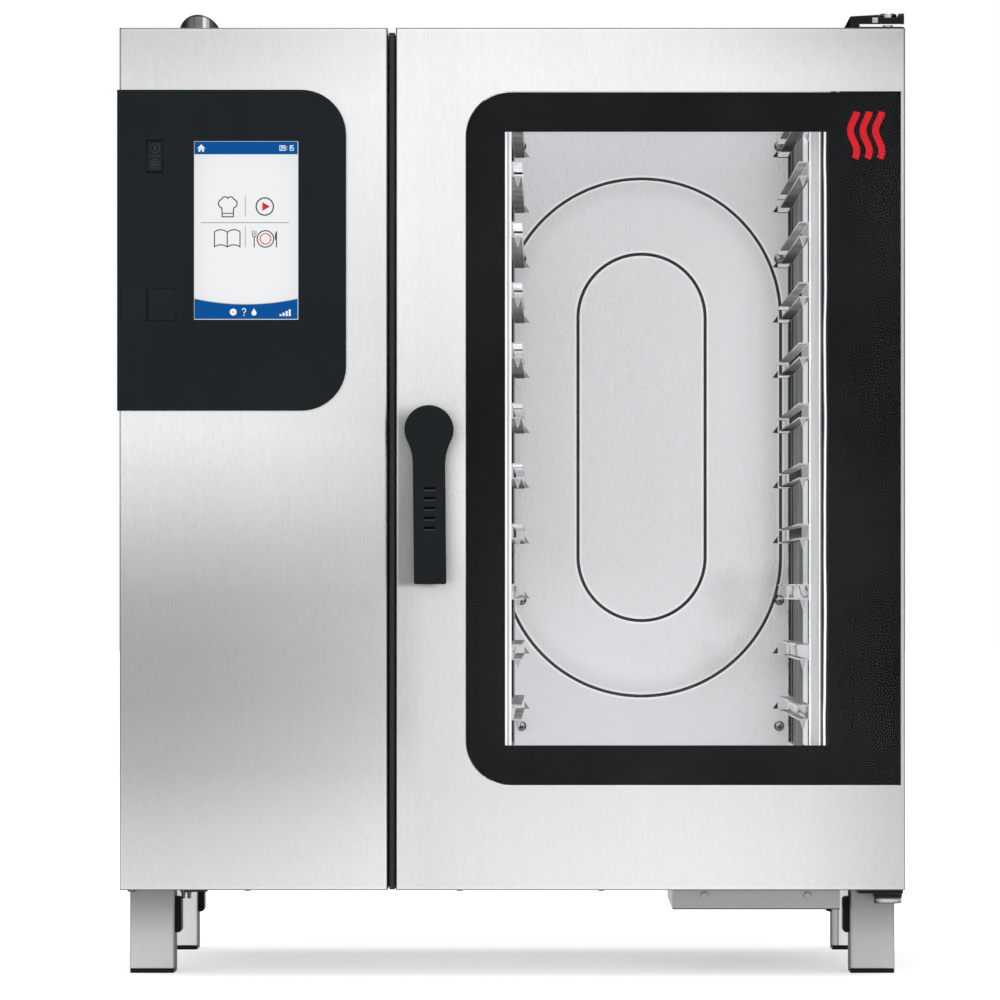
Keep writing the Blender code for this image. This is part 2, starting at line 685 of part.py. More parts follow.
def leg_set(tag, x0, d0, inward):
    """A hollow leg, its plastic foot, and the clip on its inner side."""
    leg_x, leg_d = offset(x0, 0, LEG), offset(d0, 0, LEG)
    leg_bm = block(leg_x, leg_d, (FOOT_H + GAP, Z_BASE - GAP))
    round_edges(leg_bm, "Z", LEG_CORNER_R, 2)
    leg = part(f"leg_{tag}", leg_bm, LEG_STEEL, smooth=True)
    cut(leg, "bore", block(grown(leg_x, -LEG_WALL), grown(leg_d, -LEG_WALL), (-20, Z_BASE - 3)))

    foot_bm = block(grown(leg_x, -FOOT_INSET), grown(leg_d, -FOOT_INSET), (0, FOOT_H))
    foot = part(f"foot_{tag}", round_edges(foot_bm, "Z", LEG_CORNER_R, 2), BLACK_PLASTIC)
    join(foot, "stem", rod("Z", (mid(leg_x), mid(leg_d)), (4, 44), 9, 16))

    near_x = leg_x[1] + GAP if inward > 0 else leg_x[0] - GAP
    clip_x = sorted((near_x, near_x + inward * CLIP_T))
    clip_bm = block(clip_x, grown(leg_d, -12), (45, 85))
    round_edges(clip_bm, "Y", 4.0, 4, lambda p: (p.x - mid(clip_x)) * inward > 0)
    part(f"leg_clip_{tag}", clip_bm, BLACK_PLASTIC, smooth=True)


for end, d0 in LEG_ENDS:
    for side, x0, inward in LEG_SIDES:
        leg_set(f"{end}_{side}", x0, d0, inward)

# ============================================================== DOOR HINGES
ARM_FRONT_D = HINGE[1] - 16

# Top bracket; its upper face is higher on the right
arm_bm = block((377, HALF_W), (ARM_FRONT_D, 130), offset(Z_TOP, 0.5, 17.0))
for v in arm_bm.verts:
    if v.co.z > Z_TOP + 5:
        v.co.z += 0.9 if v.co.x > 400 else -2.4
round_edges(arm_bm, "Z", 4.0, 3, before(20))
top_arm = part("hinge_bracket_top", arm_bm, DARK_METAL, smooth=True)
join(top_arm, "heel", block((380, 430), (69, 128), offset(Z_TOP, GAP, 10)))
cut(top_arm, "slot", block((387.5, 460), (-20, 66), offset(Z_TOP, 2.9, 5.7)))
cut(top_arm, "seat", block((409.4, 431.2), (-20, 44), offset(Z_TOP, 13.2, 30)))
cut(top_arm, "pin_hole", rod("Z", HINGE, offset(Z_TOP, -10, 40), PIN_HOLE_R, 24))

top_pin_bm = rod("Z", HINGE, offset(Z_TOP, -20, 14), PIN_R, 24)
top_pin = part("hinge_pin_top", top_pin_bm, CHROME, smooth=True)
join(top_pin, "head", rod("Z", HINGE, offset(Z_TOP, 13.5, 18.4), 10, 24))

low_arm_bm = block((386, 436), (ARM_FRONT_D, 75.5), (93.4, 97.2))
low_arm = part("hinge_bracket_bottom", low_arm_bm, DARK_METAL)
boss = block((404.5, 435.8), offset(HINGE[1], -15.8, 20), (89.0, 94.0))
join(low_arm, "boss", round_edges(boss, "Z", 10.0, 4, before(20)))
cut(low_arm, "pin_hole", rod("Z", HINGE, (60, 120), PIN_HOLE_R, 24))

low_pin_bm = rod("Z", HINGE, (83, 118), PIN_R, 24)
low_pin = part("hinge_pin_bottom", low_pin_bm, CHROME, smooth=True)
join(low_pin, "head", rod("Z", HINGE, (82, 88.5), 15.6, 32))

# Keeper on the front frame, level with the handle
keeper_bm = block((-127, -119.2), (57, CAB_D - GAP), around(HANDLE_Z, 24))
keeper = part("latch_keeper", keeper_bm, CHROME)
cut(keeper, "notch", block((-122.6, -110), (40, 61.5), around(HANDLE_Z, 14)))

# ====================================================================== DOOR
GLASS_X, GLASS_Z = (-51.9, 432.6), (214.8, 987.5)
GLASS_R = 50.0  # the two left-hand corners
WINDOW_X, WINDOW_Z = (-8.1, 352.0), (259.1, 942.7)
INNER_X, INNER_Z = (-30.0, 364.0), (218.0, 1002.0)  # inner pane
SLEEVE_W = 2.0


def pane(inset, depth):
    """The front glass outline, drawn in by an inset."""
    bm = block(grown(GLASS_X, -inset), depth, grown(GLASS_Z, -inset))
    return round_edges(bm, "Y", GLASS_R - inset, 14, lambda p: p.x < 0)


door = pivot("door_hinge_axis", *HINGE, mid(CABINET_Z))
skin_bm = block(DOOR_X, (0, DOOR_BACK_D - 2.4), CABINET_Z)
round_edges(skin_bm, "Z", EDGE_R, 3, before(1))
skin = part("door_frame", skin_bm, STEEL, parent=door, smooth=True)
hollow_front(skin, DOOR_X)
cut(skin, "glass_hole", pane(0, (-20, 12)))
door_holes = rod("Z", HINGE, offset(Z_BASE, -10, 12), PIN_HOLE_R, 24)
rod("Z", HINGE, offset(Z_TOP, -12, 10), PIN_HOLE_R, 24, door_holes)
rod("Y", HANDLE, (-12, 12), SPINDLE_HOLE_R, 24, door_holes)
cut(skin, "pin_and_spindle_holes", door_holes)

part("door_glass_outer", pane(GAP, (0.2, 4.2)), GLASS, parent=door, smooth=True)
printed = part("door_glass_print", pane(0.8, (4.6, 5.4)), BLACK_PRINT, parent=door)
cut(printed, "window", block(WINDOW_X, (-10, 20), WINDOW_Z))

# Rear sheet of the door, with a sleeve round the inner pane
liner_bm = block(DOOR_X, offset(DOOR_BACK_D, -2, 0), CABINET_Z)
liner = part("door_inner_frame", liner_bm, STEEL, parent=door)
sleeve = block(grown(INNER_X, SLEEVE_W), (6.2, DOOR_BACK_D - 1), grown(INNER_Z, SLEEVE_W))
join(liner, "sleeve", sleeve)
cut(liner, "opening", block(grown(INNER_X, GAP), (-10, 90), grown(INNER_Z, GAP)))
cut(liner, "spindle_hole", rod("Y", HANDLE, (40, 70), SPINDLE_HOLE_R, 24))
part("door_glass_inner", block(INNER_X, (50, 55), INNER_Z), GLASS, parent=door)

bush_bm = rod("Y", HANDLE, (-2.8, -0.4), 15, 28)
bush = part("handle_bush", bush_bm, BLACK_PLASTIC, parent=door, smooth=True)
cut(bush, "bore", rod("Y", HANDLE, (-20, 15), SPINDLE_HOLE_R, 24))

# ---------------------------------------------------------- handle and latch
HEAD_R = 27.0
LEVER_W = 35.5
LEVER_BOTTOM = 438.6
LEVER_FRONT_D = -60.0
LEVER_T = 22.0
SPINDLE_R = 5.4
SPINDLE_BORE_R = 5.9  # in the lever and the cam

handle = pivot("handle_axis", HANDLE_X, 0, HANDLE_Z, parent=door)
head_bm = rod("Y", HANDLE, (LEVER_FRONT_D, -3.6), HEAD_R, 40)
lever = part("handle_lever", head_bm, BLACK_PLASTIC, parent=handle, smooth=True)
lever_arm = block(
    around(HANDLE_X, LEVER_W / 2),
    offset(LEVER_FRONT_D, 1.2, LEVER_T),
    (LEVER_BOTTOM, HANDLE_Z),
)
join(lever, "arm", round_edges(lever_arm, "Z", 5.0, 3))
cut(lever, "spindle_bore", rod("Y", HANDLE, (-32, 15), SPINDLE_BORE_R, 24))

spindle_bm = rod("Y", HANDLE, (-30, 62.8), SPINDLE_R, 24)
part("handle_spindle", spindle_bm, CHROME, parent=handle, smooth=True)

# Cam whose tongue points left, to the keeper
cam_bm = rod("Y", HANDLE, (57, 62.4), 13, 24)
cam = part("latch_cam", cam_bm, CHROME, parent=handle, smooth=True)
tongue = block(offset(HANDLE_X, -25, 0), (57.2, 62.2), around(HANDLE_Z, 8))
join(cam, "tongue", round_edges(tongue, "Y", 4.0, 3, lambda p: p.x < HANDLE_X - 20))
cut(cam, "bore", rod("Y", HANDLE, (40, 80), SPINDLE_BORE_R, 24))

bpy.context.view_layer.update()
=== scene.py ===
"""A table-top combi steamer oven: procedural steel, glass and plastic on the CAD
parts, with the fine pieces around them.

+Z is up, the front faces -Y and +X is to the right as seen from the front.
Pieces are modelled in millimetres: x, depth behind the door's front face, z.
Shaders, lights and the camera work in metres."""

import math

import bmesh
import bpy
from mathutils import Matrix, Vector

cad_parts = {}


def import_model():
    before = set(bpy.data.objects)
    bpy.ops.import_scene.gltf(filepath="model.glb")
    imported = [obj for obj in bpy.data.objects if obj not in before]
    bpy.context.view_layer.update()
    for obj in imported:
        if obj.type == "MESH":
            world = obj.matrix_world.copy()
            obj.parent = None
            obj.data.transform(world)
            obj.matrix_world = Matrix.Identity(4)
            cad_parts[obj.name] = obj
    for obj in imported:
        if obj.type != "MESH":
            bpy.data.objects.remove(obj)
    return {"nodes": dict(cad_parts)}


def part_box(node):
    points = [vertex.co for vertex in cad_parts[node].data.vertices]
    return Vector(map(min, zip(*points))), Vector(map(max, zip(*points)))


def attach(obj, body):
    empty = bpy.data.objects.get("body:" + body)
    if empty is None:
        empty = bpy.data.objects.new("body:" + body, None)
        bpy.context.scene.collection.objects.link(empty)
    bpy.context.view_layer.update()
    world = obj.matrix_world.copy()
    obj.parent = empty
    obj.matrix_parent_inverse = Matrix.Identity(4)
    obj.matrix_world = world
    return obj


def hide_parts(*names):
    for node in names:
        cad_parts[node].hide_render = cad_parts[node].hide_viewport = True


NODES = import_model()["nodes"]
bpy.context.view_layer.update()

MILLI = 0.001  # metres in a millimetre


def box_mm(node):
    """A part's lower and upper corners, in millimetres."""
    low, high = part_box(node)
    return low / MILLI, high / MILLI


FRONT = box_mm("door_frame")[0].y
ARM_LOW, ARM_HIGH = box_mm("hinge_bracket_top")
RAIL_PITCH = 68.5  # height from one tray rail to the next


def y_of(depth):
    return FRONT + depth


def depth_of(y):
    return y - FRONT


# ================================================================ shading kit
class Net:
    """Builds the node tree of one material or world."""

    def __init__(self, owner, space="Object"):
        self.owner = owner
        owner.use_nodes = True
        self.tree = owner.node_tree
        self.tree.nodes.clear()
        self.coord = self.node("ShaderNodeTexCoord").outputs[space]

    def node(self, kind, ins=None, **settings):
        made = self.tree.nodes.new(kind)
        for key, value in settings.items():
            setattr(made, key, value)
        for key, value in (ins or {}).items():
            self.put(made.inputs[key], value)
        return made

    def put(self, socket, value):
        if isinstance(value, bpy.types.NodeSocket):
            self.tree.links.new(value, socket)
        else:
            socket.default_value = value

    # ---- arithmetic
    def math(self, operation, first, second=0.0):
        ins = {0: first, 1: second}
        return self.node("ShaderNodeMath", ins, operation=operation).outputs[0]

    def chain(self, operation, first, *rest):
        for value in rest:
            first = self.math(operation, first, value)
        return first

    def times(self, *values):
        return self.chain("MULTIPLY", *values)

    def plus(self, *values):
        return self.chain("ADD", *values)

    def minus(self, *values):
        return self.chain("SUBTRACT", *values)

    def above(self, value, limit):
        return self.math("GREATER_THAN", value, limit)

    def below(self, value, limit):
        return self.math("LESS_THAN", value, limit)

    def where(self, share, factor):
        """The factor where share is 1, and 1 where share is 0."""
        return self.plus(self.times(share, self.minus(factor, 1.0)), 1.0)

    def distance(self, across, up, power):
        """Root of the sum of two powers: round for 2, squarer for 4."""
        powers = self.math("POWER", across, power), self.math("POWER", up, power)
        return self.math("SQRT", self.plus(*powers))

    def span(self, value, start, end, low=0.0, high=1.0, smooth=False):
        """Maps start..end onto low..high."""
        ins = {
            "Value": value,
            "From Min": start,
            "From Max": end,
            "To Min": low,
            "To Max": high,
        }
        kind = "SMOOTHSTEP" if smooth else "LINEAR"
        return self.node("ShaderNodeMapRange", ins, interpolation_type=kind).outputs[0]

    def vary(self, texture, low, high):
        """Maps the usual range of a noise texture onto low..high."""
        return self.span(texture, 0.3, 0.7, low, high)

    # ---- colour
    def ramp(self, value, stops):
        """Grey levels; stops are (position 0 to 1, level)."""
        made = self.node("ShaderNodeValToRGB", {0: value})
        elements = made.color_ramp.elements
        while len(elements) < len(stops):
            elements.new(0.5)
        for element, (position, level) in zip(elements, stops):
            element.position = position
            element.color = (level, level, level, 1.0)
        return made.outputs[0]

    def curve(self, value, start, end, stops):
        """A ramp laid out over start..end."""
        return self.ramp(self.span(value, start, end), stops)

    def mix(self, share, first, second, blend="MIX"):
        made = self.node("ShaderNodeMix", data_type="RGBA", blend_type=blend)
        made.clamp_factor = True
        self.put(made.inputs[0], share)
        for socket, value in ((made.inputs[6], first), (made.inputs[7], second)):
            if isinstance(value, float):
                value = (value, value, value)
            if isinstance(value, tuple):
                value = (*value, 1.0)
            self.put(socket, value)
        return made.outputs[2]

    def tint(self, colour, factor):
        """A colour times a scalar."""
        ins = {0: colour, "Scale": factor}
        return self.node("ShaderNodeVectorMath", ins, operation="SCALE").outputs[0]

    # ---- surface readings
    def axes(self, vector=None):
        return self.node("ShaderNodeSeparateXYZ", {0: vector or self.coord}).outputs

    def facing(self):
        """The surface normal's x, y and z, in world axes."""
        return self.axes(self.node("ShaderNodeNewGeometry").outputs["True Normal"])

    def oblique(self):
        """0 where a face is seen head on, 1 where it is seen edge on."""
        return self.node("ShaderNodeLayerWeight", {"Blend": 0.5}).outputs["Facing"]

    def noise(self, scale, detail=2.0, rough=0.5):
        """scale is one number, or one for each axis."""
        if isinstance(scale, float):
            scale = (scale,) * 3
        ins = {"Vector": self.coord, "Scale": scale}
        stretched = self.node("ShaderNodeMapping", ins).outputs[0]
        ins = {"Vector": stretched, "Scale": 1.0, "Detail": detail, "Roughness": rough}
        return self.node("ShaderNodeTexNoise", ins).outputs[0]

    def rounded(self, radius, samples=4):
        """Normal that rounds the edges, to a radius in metres."""
        return self.node("ShaderNodeBevel", {"Radius": radius}, samples=samples).outputs[0]

    def edge_mask(self, rounded):
        """1 along the edges that the rounded normal bends."""
        normal = self.node("ShaderNodeNewGeometry").outputs["Normal"]
        ins = {0: rounded, 1: normal}
        dot = self.node("ShaderNodeVectorMath", ins, operation="DOT_PRODUCT")
        return self.span(dot.outputs["Value"], 0.985, 0.80)

    def bump(self, height, strength, distance=0.0002, normal=None):
        ins = {"Height": height, "Strength": strength, "Distance": distance}
        if normal is not None:
            ins["Normal"] = normal
        return self.node("ShaderNodeBump", ins).outputs[0]

    # ---- endings
    def close(self, shader):
        self.node("ShaderNodeOutputMaterial", {"Surface": shader})
        return self.owner

    def principled(self, preview, **ins):
        made = self.node("ShaderNodeBsdfPrincipled")
        made.inputs["Base Color"].default_value = (*preview, 1.0)
        for key, value in ins.items():
            self.put(made.inputs[key.replace("_", " ")], value)
        self.owner.diffuse_color = (*preview, 1.0)
        return self.close(made.outputs[0])


def new_material(name):
    return Net(bpy.data.materials.new(name))


def steel(
    name,
    colour,
    rough,
    grain="Z",
    streak=0.05,
    tone=None,
    edge=0.0015,
    cloud=0.03,
    aniso=0.45,
    metallic=1.0,
    glow=0.0,
    matt_edge_on=False,
    relief=0.06,
):
    """Brushed sheet: long streaks along the grain, clouded polish, painted highlights on the
    edges; glow is painted light.
    """
    net = new_material(name)

    def stretched(across, along):
        return tuple(along if axis == grain else across for axis in "XYZ")

    coarse = net.noise(stretched(across=420.0, along=9.0), detail=2.0, rough=0.6)
    fine = net.noise(stretched(across=1050.0, along=70.0), detail=3.0, rough=0.65)
    speck = net.noise(620.0, detail=1.0)
    drift = net.noise((2.6, 2.6, 2.1))
    brushed = net.plus(net.times(coarse, 0.25), net.times(fine, 0.75))
    factors = [
        net.vary(brushed, 1.0 - streak, 1.0 + streak),
        net.vary(speck, 1.0 - streak / 3, 1.0 + streak / 3),
        net.vary(drift, 1.0 - cloud, 1.0 + cloud),
    ]
    if tone is not None:
        factors.append(tone(net))
    normal = net.rounded(edge)
    # painted highlight: the colour brightens along the rounded edges
    factors.append(net.span(net.edge_mask(normal), 0.0, 1.0, 1.0, 1.12))
    tinted = net.tint(colour, net.times(*factors))
    roughness = net.plus(
        net.span(fine, 0.25, 0.75, rough - 0.05, rough + 0.05),
        net.vary(drift, -0.03, 0.03),
    )
    gloss = 0.5
    if matt_edge_on:
        oblique = net.oblique()
        metallic = net.span(oblique, 0.45, 0.85, metallic, 0.0)
        gloss = net.span(oblique, 0.45, 0.85, gloss, 0.0)
    return net.principled(
        colour,
        Base_Color=tinted,
        Metallic=metallic,
        Specular_IOR_Level=gloss,
        Roughness=roughness,
        Anisotropic=aniso,
        Normal=net.bump(brushed, relief, normal=normal),
        Emission_Color=tinted,
        Emission_Strength=glow,
    )


def plastic(name, colour, rough, grain, bump, gloss, edge=0.0008, edge_light=0.02):
    """Moulded plastic or painted metal: fine texture, patchy painted highlights on the edges.
    """
    net = new_material(name)
    pebble = net.noise(grain, detail=2.0, rough=0.6)
    smear = net.noise((14.0, 14.0, 9.0), detail=3.0, rough=0.6)
    normal = net.rounded(edge)
    # painted highlight: a lighter colour along the rounded edges, broken up by the smear
    # noise
    lit_edge_share = net.times(net.edge_mask(normal), net.span(smear, 0.4, 0.6, 0.4, 1.0))
    body = net.tint(colour, net.plus(net.vary(smear, 0.93, 1.07), 0.0))
    lit_edge_colour = tuple(channel * 1.15 + edge_light for channel in colour)
    return net.principled(
        colour,
        Base_Color=net.mix(lit_edge_share, body, lit_edge_colour),
        Roughness=net.plus(
            net.vary(smear, rough - 0.05, rough + 0.07), net.vary(pebble, -0.02, 0.02)
        ),
        Specular_IOR_Level=gloss,
        Normal=net.bump(pebble, bump, distance=0.0001, normal=normal),
    )


def glass(name, tint, grazing):
    """A clear pane: it lets light through and mirrors more the flatter you look."""
    net = new_material(name)
    lift = net.math("POWER", net.oblique(), 4.0)
    smudge_and_shade = net.noise((5.0, 5.0, 4.0), detail=4.0, rough=0.6)
    head_on = net.span(smudge_and_shade, 0.35, 0.7, 0.002, 0.0064)
    share = net.plus(net.times(lift, grazing), head_on)
    clear = net.node("ShaderNodeBsdfTransparent", {"Color": (*tint, 1.0)})
    shine = net.node(
        "ShaderNodeBsdfGlossy",
        {"Color": (0.95, 0.97, 0.97, 1.0), "Roughness": net.vary(smudge_and_shade, 0.01, 0.06)},
    )
    both = net.node(
        "ShaderNodeMixShader", {0: share, 1: clear.outputs[0], 2: shine.outputs[0]}
    )
    net.owner.diffuse_color = (0.9, 0.95, 0.95, 0.25)
    return net.close(both.outputs[0])


# ------------------------------------------------------- tones of the sheets
# Each tone is painted light and shade: a brightness factor over a steel part that stands in
# for the studio's light on it, in metres.
SHEET_Z = (0.098, 1.058)  # lower and upper edge of the door and cover sheets


def fold_lines(net, left, right):
    """Painted shade in dark lines where the sheet folds back along its border, and a painted
    highlight line inside.
    """
    x, _, z = net.axes()
    bottom, top = SHEET_Z
    across = net.math("MINIMUM", net.minus(x, left), net.minus(right, x))
    up = net.math("MINIMUM", net.minus(z, bottom), net.minus(top, z))
    near = net.math("MINIMUM", across, up)
    lines = net.curve(
        near, 0.0, 0.010,
        [(0.0, 0.16), (0.09, 0.30), (0.14, 1.07), (0.30, 1.07), (0.40, 1.0), (1.0, 1.0)],
    )
    # painted shade: the folded-back return is darker
    folded = net.above(net.axes()[1], FRONT * MILLI + 0.0036)
    return net.mix(folded, lines, 0.62)


def cover_tone(net):
    """Soft band of painted shade across the lower half of the left cover."""
    x, _, z = net.axes()
    height = net.span(z, *SHEET_Z)
    band = net.ramp(
        height,
        [
            (0.00, 0.64), (0.07, 0.55), (0.14, 0.42), (0.22, 0.365), (0.28, 0.365),
            (0.34, 0.41), (0.40, 0.53), (0.46, 0.70), (0.53, 0.87), (0.62, 0.88),
            (0.92, 0.725), (1.00, 0.60),
        ],
    )
    # painted light: what the right edge gains over the left one; 0.5 is no change
    gain = net.ramp(
        height,
        [
            (0.0, 0.64), (0.12, 0.68), (0.30, 0.66), (0.36, 0.60), (0.42, 0.51),
            (0.48, 0.42), (0.54, 0.33), (0.66, 0.40), (0.9, 0.66), (1.0, 0.72),
        ],
    )
    across = net.math("POWER", net.span(x, -0.437, -0.139), 1.8)
    lift = net.times(across, net.span(gain, 0.0, 1.0, -0.5, 0.5))
    return net.times(net.plus(band, lift), fold_lines(net, left=-0.4375, right=-0.1389))


def door_tone(net):
    x, _, z = net.axes()
    height = net.span(z, *SHEET_Z)
    # painted light and shade in bands by height
    band = net.ramp(
        height,
        [
            (0.0, 0.785), (0.05, 0.765), (0.12, 0.735), (0.25, 0.735), (0.35, 0.74),
            (0.45, 0.78), (0.53, 0.81), (0.65, 0.87), (0.78, 0.92), (0.95, 0.92),
            (1.0, 0.89),
        ],
    )
    # fall of light from left to right, low and high on the door
    across = net.span(x, -0.13, 0.4375)
    low = net.ramp(
        across,
        [
            (0.0, 0.84), (0.06, 0.90), (0.13, 0.94), (0.25, 0.97), (0.5, 1.0),
            (0.65, 0.99), (0.8, 0.93), (1.0, 0.70),
        ],
    )
    high = net.ramp(
        across,
        [
            (0.0, 0.96), (0.12, 0.98), (0.25, 1.0), (0.42, 1.0), (0.6, 0.93),
            (0.8, 0.76), (1.0, 0.58),
        ],
    )
    fall = net.mix(net.span(height, 0.30, 0.85, smooth=True), low, high)
    # the handle's shade: a strip along its left side, which turns with the handle
    spindle = net.node("ShaderNodeTexCoord", object=NODES["handle_spindle"])
    turned_x, _, turned_z = net.axes(spindle.outputs["Object"])
    strip = net.times(
        net.span(turned_x, -0.1300, -0.1255, smooth=True),
        net.span(turned_x, -0.083, -0.089, smooth=True),
        net.span(turned_z, 0.433, 0.441, smooth=True),
        net.span(turned_z, 0.643, 0.618, smooth=True),
    )
    strip_level = net.vary(net.noise((60.0, 60.0, 14.0)), 0.44, 0.50)
    # painted shade: the sheet's free edge, dimmer at mid height
    edge = net.ramp(
        height,
        [
            (0.0, 1.08), (0.10, 1.06), (0.20, 0.90), (0.36, 0.90), (0.46, 1.0),
            (0.62, 1.05), (1.0, 1.0),
        ],
    )
    near_edge = net.span(x, -0.095, -0.120)
    # painted light: a paler patch right of the handle, and one below the upper right corner
    patch_x = net.math("DIVIDE", net.minus(turned_x, -0.052), 0.024)
    patch_z = net.math("DIVIDE", net.minus(turned_z, 0.53), 0.11)
    beside = net.distance(patch_x, patch_z, 2.0)
    corner = net.times(
        net.span(x, 0.16, 0.43), net.span(z, 1.050, 1.000), net.span(z, 0.80, 0.90)
    )
    return net.times(
        band,
        fall,
        net.mix(strip, 1.0, strip_level),
        net.mix(near_edge, 1.0, edge),
        net.span(beside, 0.2, 1.2, 1.20, 1.0, smooth=True),
        net.span(corner, 0.0, 1.0, 1.0, 1.22),
        fold_lines(net, left=-0.1298, right=0.4375),
    )


def side_tone(net):
    """Broad soft bands of painted light and shade on the plain outer sheets."""
    _, y, z = net.axes()
    up = net.curve(
        z, 0.0, 1.06,
        [(0.0, 0.50), (0.18, 0.44), (0.38, 0.50), (0.60, 0.66), (0.85, 0.74), (1.0, 0.70)],
    )
    back = net.curve(y, -0.30, 0.45, [(0.0, 0.84), (0.35, 1.0), (0.7, 0.96), (1.0, 0.86)])
    return net.times(up, back)


def leg_tone(net):
    x, _, z = net.axes()
    # painted shade: the legs darken towards the top, under the body
    up = net.span(z, 0.0, 0.10)
    left = net.ramp(up, [(0.0, 0.86), (0.4, 0.71), (0.75, 0.42), (1.0, 0.26)])
    right = net.ramp(up, [(0.0, 0.76), (0.4, 0.60), (0.75, 0.37), (1.0, 0.27)])
    front = net.mix(net.above(x, 0.0), left, right)
    # the rear pair stands in more painted light, and the right one shows its fold as a
    # painted dark line and highlight
    leg_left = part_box("leg_rear_right")[0].x
    folded = net.curve(
        x, leg_left, leg_left + 0.020,
        [(0.0, 0.64), (0.30, 0.68), (0.34, 0.30), (0.38, 0.30), (0.42, 1.12), (1.0, 1.15)],
    )
    rear = net.times(
        net.plus(net.times(front, 0.20), 1.05), net.mix(net.above(x, 0.0), 1.0, folded)
    )
    tone = net.mix(net.above(net.axes()[1], -0.10), front, rear)
    # painted shade: all the flanks are greyer
    flank = net.above(net.math("ABSOLUTE", net.facing()[0]), 0.8)
    return net.mix(flank, tone, 0.40)


def box_tone(net):
    """A dark line along the shallow box's lower edge, and painted shade fading down from
    under the sheets above it.
    """
    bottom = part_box("drain_box")[0].z
    z = net.axes()[2]
    lower = net.curve(
        z, bottom, bottom + 0.006, [(0.0, 0.12), (0.16, 0.14), (0.26, 1.0), (1.0, 1.0)]
    )
    upper = net.curve(
        z, 0.098, 0.0895, [(0.0, 0.45), (0.25, 0.60), (0.6, 0.95), (1.0, 1.0)]
    )
    return net.times(lower, upper)


def pin_tone(net):
    """A polished disc with a painted reflection: a bright band between dark upper and lower
    rims.
    """
    x, _, z = net.axes()
    low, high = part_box("hinge_pin_bottom")
    up = net.curve(
        z, low.z, low.z + 0.0075,
        [
            (0.0, 0.08), (0.10, 0.14), (0.22, 0.30), (0.45, 0.48), (0.62, 0.40),
            (0.72, 0.16), (0.86, 0.08), (1.0, 0.05),
        ],
    )
    across = net.curve(
        x, low.x, high.x,
        [
            (0.0, 0.12), (0.10, 0.55), (0.28, 1.0), (0.62, 1.0), (0.84, 0.70),
            (0.94, 0.35), (1.0, 0.12),
        ],
    )
    return net.times(up, across)


def back_wall_tone(net, x, z):
    """Painted shade in the pressed grooves of the back wall, with painted highlights on the
    rolled edges.
    """
    # the grooves run round an upright oval: two half circles and a straight part
    centre_x, centre_z, half_straight = 0.1564, 0.6239, 0.150
    outer, inner = 0.1744, 0.0797
    off_x = net.minus(x, centre_x)
    from_middle = net.math("ABSOLUTE", net.minus(z, centre_z))
    off_z = net.math("MAXIMUM", net.minus(from_middle, half_straight), 0.0)
    radius = net.math("SQRT", net.plus(net.times(off_x, off_x), net.times(off_z, off_z)))

    def groove(rim):
        return net.curve(
            net.math("ABSOLUTE", net.minus(radius, rim)), 0.0, 0.012,
            [
                (0.0, 0.02), (0.14, 0.03), (0.19, 1.30), (0.33, 1.22), (0.42, 1.0),
                (1.0, 1.0),
            ],
        )

    def inside_outer():
        return net.minus(outer, radius)

    # painted shade just inside the outer groove, and a painted step in brightness across it
    inside = net.span(inside_outer(), 0.004, 0.030, 0.88, 1.0, smooth=True)
    ledge = net.above(inside_outer(), 0.0)
    lift = net.span(inside_outer(), -0.001, 0.001, 0.93, 1.02)
    # the corner behind the right rack is in shade but for a bright last strip
    niche = net.curve(
        x, 0.335, 0.370,
        [
            (0.0, 1.0), (0.40, 1.0), (0.45, 0.37), (0.67, 0.32), (0.70, 1.8),
            (0.845, 1.95), (0.87, 0.05), (1.0, 0.03),
        ],
    )
    # the right rack's soft shade on the wall beside it
    beside = net.curve(x, 0.26, 0.335, [(0.0, 1.0), (0.55, 0.96), (0.85, 0.88), (1.0, 0.82)])
    # painted shade: the wall is dimmer on the left and at mid height
    middle = net.curve(
        z, 0.215, 1.005,
        [
            (0.0, 0.20), (0.10, 0.40), (0.22, 0.55), (0.32, 1.0), (0.74, 1.0),
            (0.92, 0.15), (1.0, 0.0),
        ],
    )
    slope = net.curve(
        x, 0.0, 0.30,
        [
            (0.0, 0.80), (0.10, 0.82), (0.34, 0.87), (0.52, 0.88), (0.77, 0.93),
            (0.93, 1.0), (1.0, 0.98),
        ],
    )
    # a mottled patch of painted shade low on the right
    smudge_and_shade = net.noise(7.0)
    low_right = net.times(
        net.span(x, 0.19, 0.27, smooth=True),
        net.span(z, 0.56, 0.44, smooth=True),
        net.span(z, 0.29, 0.35, smooth=True),
    )
    return net.times(
        groove(outer),
        groove(inner),
        net.where(ledge, inside),
        lift,
        niche,
        beside,
        net.mix(middle, 0.97, slope),
        net.mix(low_right, 1.0, net.span(smudge_and_shade, 0.35, 0.65, 0.66, 0.98)),
    )


def chamber_tone(net):
    x, y, z = net.axes()
    back = net.where(net.above(y, 0.325), back_wall_tone(net, x, z))
    # painted reflection: the right wall shows the mouth as one wavering bright streak
    wave = net.vary(net.noise((0.5, 0.5, 5.5)), -0.028, 0.028)
    streak = net.curve(
        net.plus(y, wave), -0.30, 0.36,
        [
            (0.0, 0.10), (0.30, 0.04), (0.375, 0.03), (0.395, 1.5), (0.42, 2.3),
            (0.445, 1.8), (0.465, 0.3), (0.49, 0.03), (0.75, 0.03), (0.90, 0.5),
            (1.0, 0.8),
        ],
    )
    right = net.times(net.below(net.facing()[0], -0.8), net.above(x, 0.36))
    return net.times(back, net.where(right, streak))


